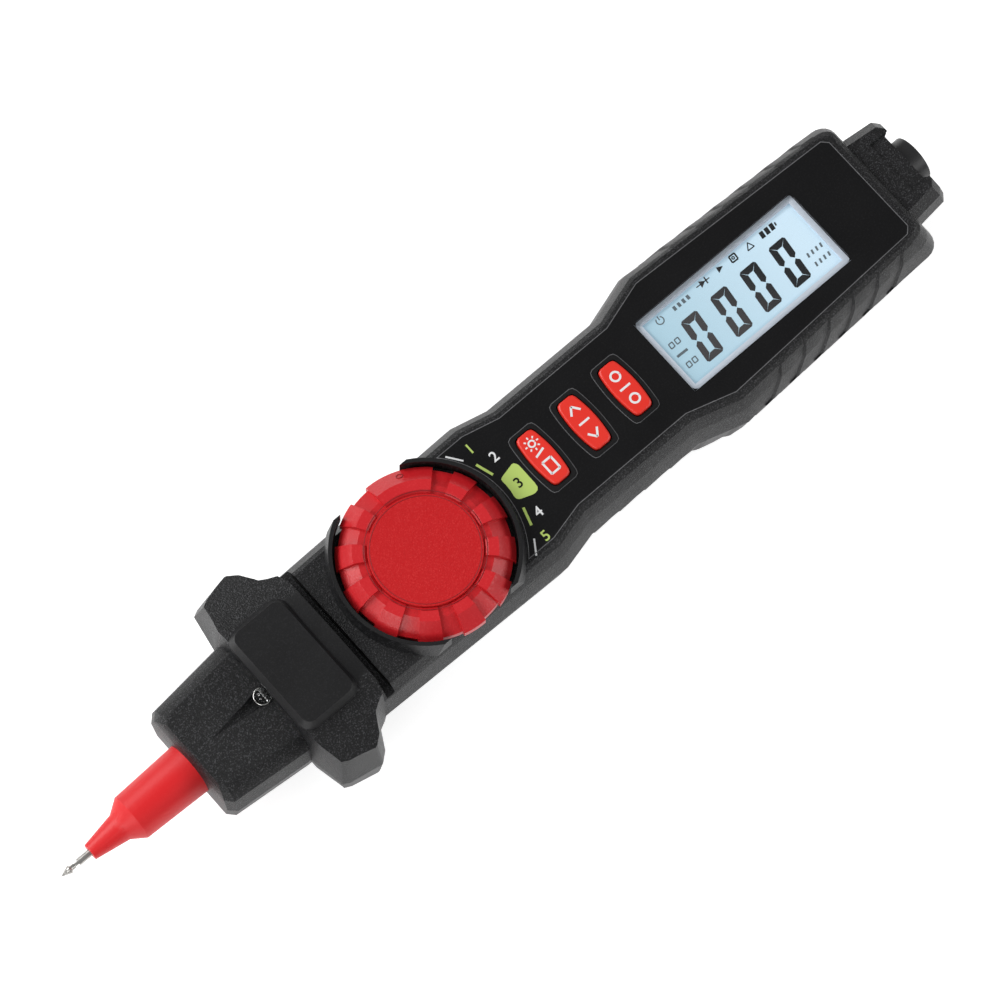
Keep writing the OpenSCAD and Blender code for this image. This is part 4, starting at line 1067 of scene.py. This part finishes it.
@dataclass
class Display:
    """The reading and the plain symbols that the glass shows."""

    shop: Workshop
    ink_z: float = 22.7
    digit_x: float = 150.15
    digit_pitch: float = 7.26
    digit_y: float = -6.1
    digit_w: float = 3.95
    digit_h: float = 9.15
    slant: float = 1.2
    stroke: float = 1.3
    gap: float = 0.1
    digits: int = 4
    corner_r: float = 1.1
    lap: float = 0.05
    lid_z: float = 24.0
    line_w: float = 0.2
    line_z: float = 22.7
    corner_steps: int = 10
    cut: float = 0.2
    fine_w: float = 0.2
    mark_w: float = 0.22
    cross_w: float = 0.25
    frame_w: float = 0.3
    tick_w: float = 0.38
    minus_w: float = 0.5
    block_w: float = 0.9
    dot_r: float = 0.25
    switch_r: float = 0.75

    def build(self) -> None:
        """Makes the four digits and the symbols."""
        for index in range(self.digits):
            x = self.digit_x + index * self.digit_pitch
            parts = [
                Printer.plate([self._lean(x, u, v) for u, v in segment], self.ink_z)
                for segment in self._zero()
            ]
            # The digits' ink carries a painted reflection that greys their lower left.
            self._put(parts, f"lcd_digit_{index + 1}", LCD_INK_AND_REFLECTION)
        self._put(self._symbols(), "lcd_symbols", LCD_INK_AND_REFLECTION)
        self._put(self._small_marks(), "lcd_small_marks", LCD_FAINT)
        self._put(self._corners(), "window_corners", OVERLAY_BLACK)
        self._put(self._inner_line(), "bezel_line", BEZEL_LINE)

    def _put(self, parts: list[Piece], name: str, finish: Finish) -> None:
        """Joins parts into one piece of the display and mounts it."""
        self.shop.finish_piece(Bench.join(parts), name, finish, Body.CASE)

    def _lean(self, x: float, u: float, v: float) -> Spot:
        """A place in a slanted digit as a place on the glass."""
        return x + u + self.slant * v / self.digit_h, self.digit_y + v

    def _zero(self) -> list[list[Spot]]:
        """The six lit segments of a zero, each with mitred ends."""
        w, h, t, g, c = self.digit_w, self.digit_h, self.stroke, self.gap, self.cut
        mid = h / 2
        level = [
            (2 * g + c, 0.0), (w - 2 * g - c, 0.0), (w - 2 * g, c),
            (w - t - g, t), (t + g, t), (2 * g, c),
        ]
        side = [
            (0.0, 2 * g + c), (c, 2 * g), (t, t + g), (t, mid - t / 2 - g),
            (t / 2, mid - g), (0.0, mid - t / 2 - g),
        ]
        return [
            level,
            [(u, h - v) for u, v in level],
            side,
            [(u, h - v) for u, v in side],
            [(w - u, v) for u, v in side],
            [(w - u, h - v) for u, v in side],
        ]

    def _corners(self) -> list[Piece]:
        """Four fillets that round the corners of the overlay's window."""
        low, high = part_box("display_window")
        made = []
        for x, side in ((low[0], 1), (high[0], -1)):
            for y, turn in ((low[1], 1), (high[1], -1)):
                corner = (x / MM + ORIGIN_X, y / MM)
                r = self.corner_r
                middle = (corner[0] + side * r, corner[1] + turn * r)
                rim = [
                    (middle[0] - side * r * math.sin(a), middle[1] - turn * r * math.cos(a))
                    for a in (
                        math.radians(90 * k / self.corner_steps)
                        for k in range(self.corner_steps + 1)
                    )
                ]
                outer = (corner[0] - side * self.lap, corner[1] - turn * self.lap)
                made.append(Printer.plate([outer, *rim], self.lid_z))
        return made

    def _inner_line(self) -> list[Piece]:
        """A fine line round the opening of the bezel."""
        low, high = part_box("lcd_glass")
        x0, x1 = low[0] / MM + ORIGIN_X, high[0] / MM + ORIGIN_X
        y0, y1 = low[1] / MM, high[1] / MM
        corners = [(x0, y0), (x1, y0), (x1, y1), (x0, y1)]
        return Printer.strokes(corners, self.line_w, self.line_z, closed=True)

    def _symbols(self) -> list[Piece]:
        """Battery, triangle, square and arrow along the upper edge."""
        z = self.ink_z
        plates = [
            [(x, 5.15), (x + 0.85, 5.1), (x + 1.05, 6.45), (x + 0.2, 6.5)]
            for x in (173.75, 174.95, 176.15)
        ] + [
            [(177.3, 5.45), (177.6, 5.45), (177.75, 6.15), (177.45, 6.15)],
            [(163.3, 5.5), (164.7, 6.1), (163.5, 6.7)],
            [(159.0, 5.4), (160.3, 6.1), (159.2, 6.8)],
        ]
        made = [Printer.plate(corners, z) for corners in plates]
        made += Printer.strokes(
            [(170.2, 5.2), (171.7, 5.15), (171.15, 6.5)], self.fine_w, z, closed=True
        )
        made += Printer.strokes(
            [(166.5, 5.35), (167.8, 5.3), (167.95, 6.6), (166.65, 6.65)],
            self.frame_w, z, closed=True,
        )
        made.append(Printer.arc((167.2, 6.0), self.dot_r, 0, 350, self.mark_w, z))
        made.append(Printer.bar((160.4, 5.4), (160.6, 6.8), self.cross_w, z))
        made.append(Printer.bar((158.2, 6.15), (161.3, 6.05), self.fine_w, z))
        return made

    def _small_marks(self) -> list[Piece]:
        """Short bars and arcs at both ends of the glass."""
        z = self.ink_z
        made = [
            Printer.bar((x, 5.8), (x + 0.6, 5.78), self.block_w, z)
            for x in (152.2, 153.3, 154.4, 155.5)
        ]
        made.append(Printer.arc((148.9, 5.8), self.switch_r, 125, 415, self.mark_w, z))
        made.append(Printer.bar((148.9, 5.9), (148.98, 6.75), self.mark_w, z))
        made.append(Printer.bar((146.6, -1.5), (149.05, -1.58), self.minus_w, z))
        for x, y in ((147.3, 0.8), (148.7, 0.8), (147.3, -4.0), (148.7, -4.0)):
            corners = [
                (x - 0.45, y - 0.5), (x + 0.4, y - 0.5), (x + 0.5, y + 0.5), (x - 0.35, y + 0.5)
            ]
            made += Printer.strokes(corners, self.mark_w, z, closed=True)
        for y in (-2.74, -4.97):
            made += [
                Printer.bar((x, y - 0.45), (x + 0.2, y + 0.45), self.tick_w, z)
                for x in (177.9, 178.95, 180.0, 181.05)
            ]
        return made


@dataclass
class Lamp:
    """The clear lamp and the silver parts inside it."""

    shop: Workshop
    start_x: float = 46.2
    axis_z: float = 22.0
    rim_r: float = 1.62
    rim_x: float = 47.8
    rim_rise: float = 0.15
    rim_half: float = 0.13
    rounding: float = 0.1
    stem_setback: float = 1.7
    cup_wall: float = 0.12
    cup_depth: float = 0.35
    stem_faces: int = 20
    stems: tuple[tuple[str, float, float, float, float], ...] = (
        ("lamp_cup", 0.45, 0.6, 3.0, 0.85),
        ("lamp_post", -0.55, 0.3, 3.4, 0.5),
    )

    def build(self) -> None:
        """Makes the lamp's lens, cup and post."""
        self.shop.refined("torch_led", self.rounding)
        for name, y, radius, length, head in self.stems:
            self._stem(name, y, radius, length, head)
        self.shop.ring(
            "lamp_rim", (self.rim_x, 0.0, self.axis_z + self.rim_rise), self.rim_r, self.rim_half,
            LAMP_SILVER, Body.CASE,
        )

    def _stem(self, name: str, y: float, radius: float, length: float, head: float) -> None:
        """A lead inside the lens that widens towards its head.

        Args:
            name: Its name.
            y: Distance from the lamp's axis.
            radius: Radius of its stem.
            length: Its length.
            head: Radius of its head.
        """
        Bench.clear_selection()
        x = self.start_x - ORIGIN_X + self.stem_setback
        bpy.ops.mesh.primitive_cylinder_add(
            vertices=self.stem_faces, radius=radius * MM, depth=length * MM,
            location=((x + length / 2) * MM, y * MM, self.axis_z * MM),
            rotation=(0.0, math.radians(90.0), 0.0),
        )
        piece = bpy.context.active_object
        Bench.settle(piece)
        Bench.select_faces(piece, lambda face: face.normal.x < -0.9)
        grow = head / radius
        middle = (x * MM, y * MM, self.axis_z * MM)
        Bench.in_edit(
            piece,
            lambda: bpy.ops.transform.resize(value=(1.0, grow, grow), center_override=middle),
            lambda: bpy.ops.mesh.inset(thickness=self.cup_wall * MM),
            lambda: bpy.ops.transform.translate(value=(self.cup_depth * MM, 0.0, 0.0)),
        )
        Bench.soften(piece, 40.0)
        self.shop.finish_piece(piece, name, LAMP_SILVER, Body.CASE)


@dataclass
class Ends:
    """The red sleeve with its sprung nickel point, and the round socket at the tail."""

    shop: Workshop
    sleeve_rounding: float = 0.12
    sleeve_smooth: float = 28.0
    roundings: tuple[tuple[str, float], ...] = (
        ("probe_tip", 0.04), ("probe_barrel", 0.05), ("com_socket", 0.3),
    )

    def build(self) -> None:
        """Makes the sleeve, barrel, point and socket."""
        self.shop.refined("probe_sleeve", self.sleeve_rounding, smooth=self.sleeve_smooth)
        for node, rounding in self.roundings:
            self.shop.refined(node, rounding)


@dataclass
class Studio:
    """Floor, backdrop, lamps and the photograph's camera, with lengths in metres."""

    floor_size: float = 60.0
    floor_color: Color = (0.80, 0.80, 0.80)
    floor_lift: float = 0.68
    floor_gap: float = 0.0002
    world_light: float = 0.25
    lens: float = 181.35
    eye: Point = (-0.179849, -0.177750, 0.902369)
    right: Point = (0.750423, -0.660641, 0.020468)
    up: Point = (0.631043, 0.725326, 0.275111)
    back: Point = (-0.196596, -0.193534, 0.961194)

    def build(self) -> None:
        """Makes the whole studio."""
        self._floor()
        self._world()
        self._lamps()
        self._camera()

    def _seen(self, tree: Tree) -> Socket:
        """A mask that is 1 where the camera sees a surface, straight, mirrored or through glass.

        Args:
            tree: The node tree to add it to.

        Returns:
            The mask's socket.
        """
        path = tree.nodes.new("ShaderNodeLightPath")
        seen = path.outputs["Is Camera Ray"]
        for ray in ("Is Glossy Ray", "Is Transmission Ray"):
            seen = Wires.math(tree, "MAXIMUM", seen, path.outputs[ray]).outputs[0]
        return seen

    def _floor(self) -> None:
        """A wide pale floor that keeps the shadow and reads as white."""
        Bench.clear_selection()
        bpy.ops.mesh.primitive_plane_add(size=self.floor_size, location=(0, 0, -self.floor_gap))
        floor = bpy.context.active_object
        floor.name = "studio_floor"
        material = bpy.data.materials.new("studio_white")
        material.use_nodes = True
        tree = material.node_tree
        shader = tree.nodes["Principled BSDF"]
        Wires.fill(shader, {
            "Base Color": (*self.floor_color, 1.0), "Roughness": 0.9,
            "Specular IOR Level": 0.0, "Emission Color": (1.0, 1.0, 1.0, 1.0),
        })
        lift = Wires.math(tree, "MULTIPLY", self._seen(tree), self.floor_lift)
        tree.links.new(lift.outputs[0], shader.inputs["Emission Strength"])
        floor.data.materials.append(material)

    def _world(self) -> None:
        """A white surround that lights the object softly."""
        world = bpy.data.worlds.new("studio_world")
        bpy.context.scene.world = world
        world.use_nodes = True
        tree = world.node_tree
        background = tree.nodes["Background"]
        background.inputs["Color"].default_value = (1.0, 1.0, 1.0, 1.0)
        path = tree.nodes.new("ShaderNodeLightPath")
        strength = tree.nodes.new("ShaderNodeMapRange")
        Wires.fill(strength, {"To Min": self.world_light, "To Max": 1.0})
        tree.links.new(path.outputs["Is Camera Ray"], strength.inputs["Value"])
        tree.links.new(strength.outputs[0], background.inputs["Strength"])

    def _lamps(self) -> None:
        """Softboxes round the object."""
        for name, place, width, height, watts in (
            ("key_softbox", (-0.40, 0.62, 0.62), 0.8, 0.45, 7.0),
            ("side_softbox", (0.60, -0.50, 0.50), 0.8, 0.40, 3.2),
            ("tip_softbox", (-0.75, -0.25, 0.50), 0.5, 0.40, 2.5),
        ):
            lamp = bpy.data.lights.new(name, "AREA")
            lamp.shape = "RECTANGLE"
            lamp.size, lamp.size_y, lamp.energy = width, height, watts
            holder = bpy.data.objects.new(name, lamp)
            bpy.context.scene.collection.objects.link(holder)
            aim = Vector(place)
            holder.location = aim
            holder.rotation_euler = (-aim).to_track_quat("-Z", "Y").to_euler()

    def _camera(self) -> None:
        """The camera as fitted to the photograph."""
        data = bpy.data.cameras.new("photo_camera")
        data.lens, data.sensor_width = self.lens, 36.0
        data.clip_start, data.clip_end = 0.01, 100.0
        camera = bpy.data.objects.new("photo_camera", data)
        bpy.context.scene.collection.objects.link(camera)
        turn = Matrix((self.right, self.up, self.back)).transposed()
        camera.matrix_world = Matrix.LocRotScale(Vector(self.eye), turn, None)
        bpy.context.scene.camera = camera


def main() -> None:
    """Builds the whole scene in order."""
    logging.basicConfig(level=logging.INFO, format="%(message)s")
    shop = Workshop()
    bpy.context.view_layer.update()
    shop.paint_nodes()
    for kind in (Case, Dial, Keys, Display, Lamp, Ends):
        part = kind(shop)
        part.build()
        LOG.info("%s done", type(part).__name__)
    Studio().build()
    view = bpy.context.scene.view_settings
    view.view_transform = "Standard"


if __name__ == "__main__":
    main()
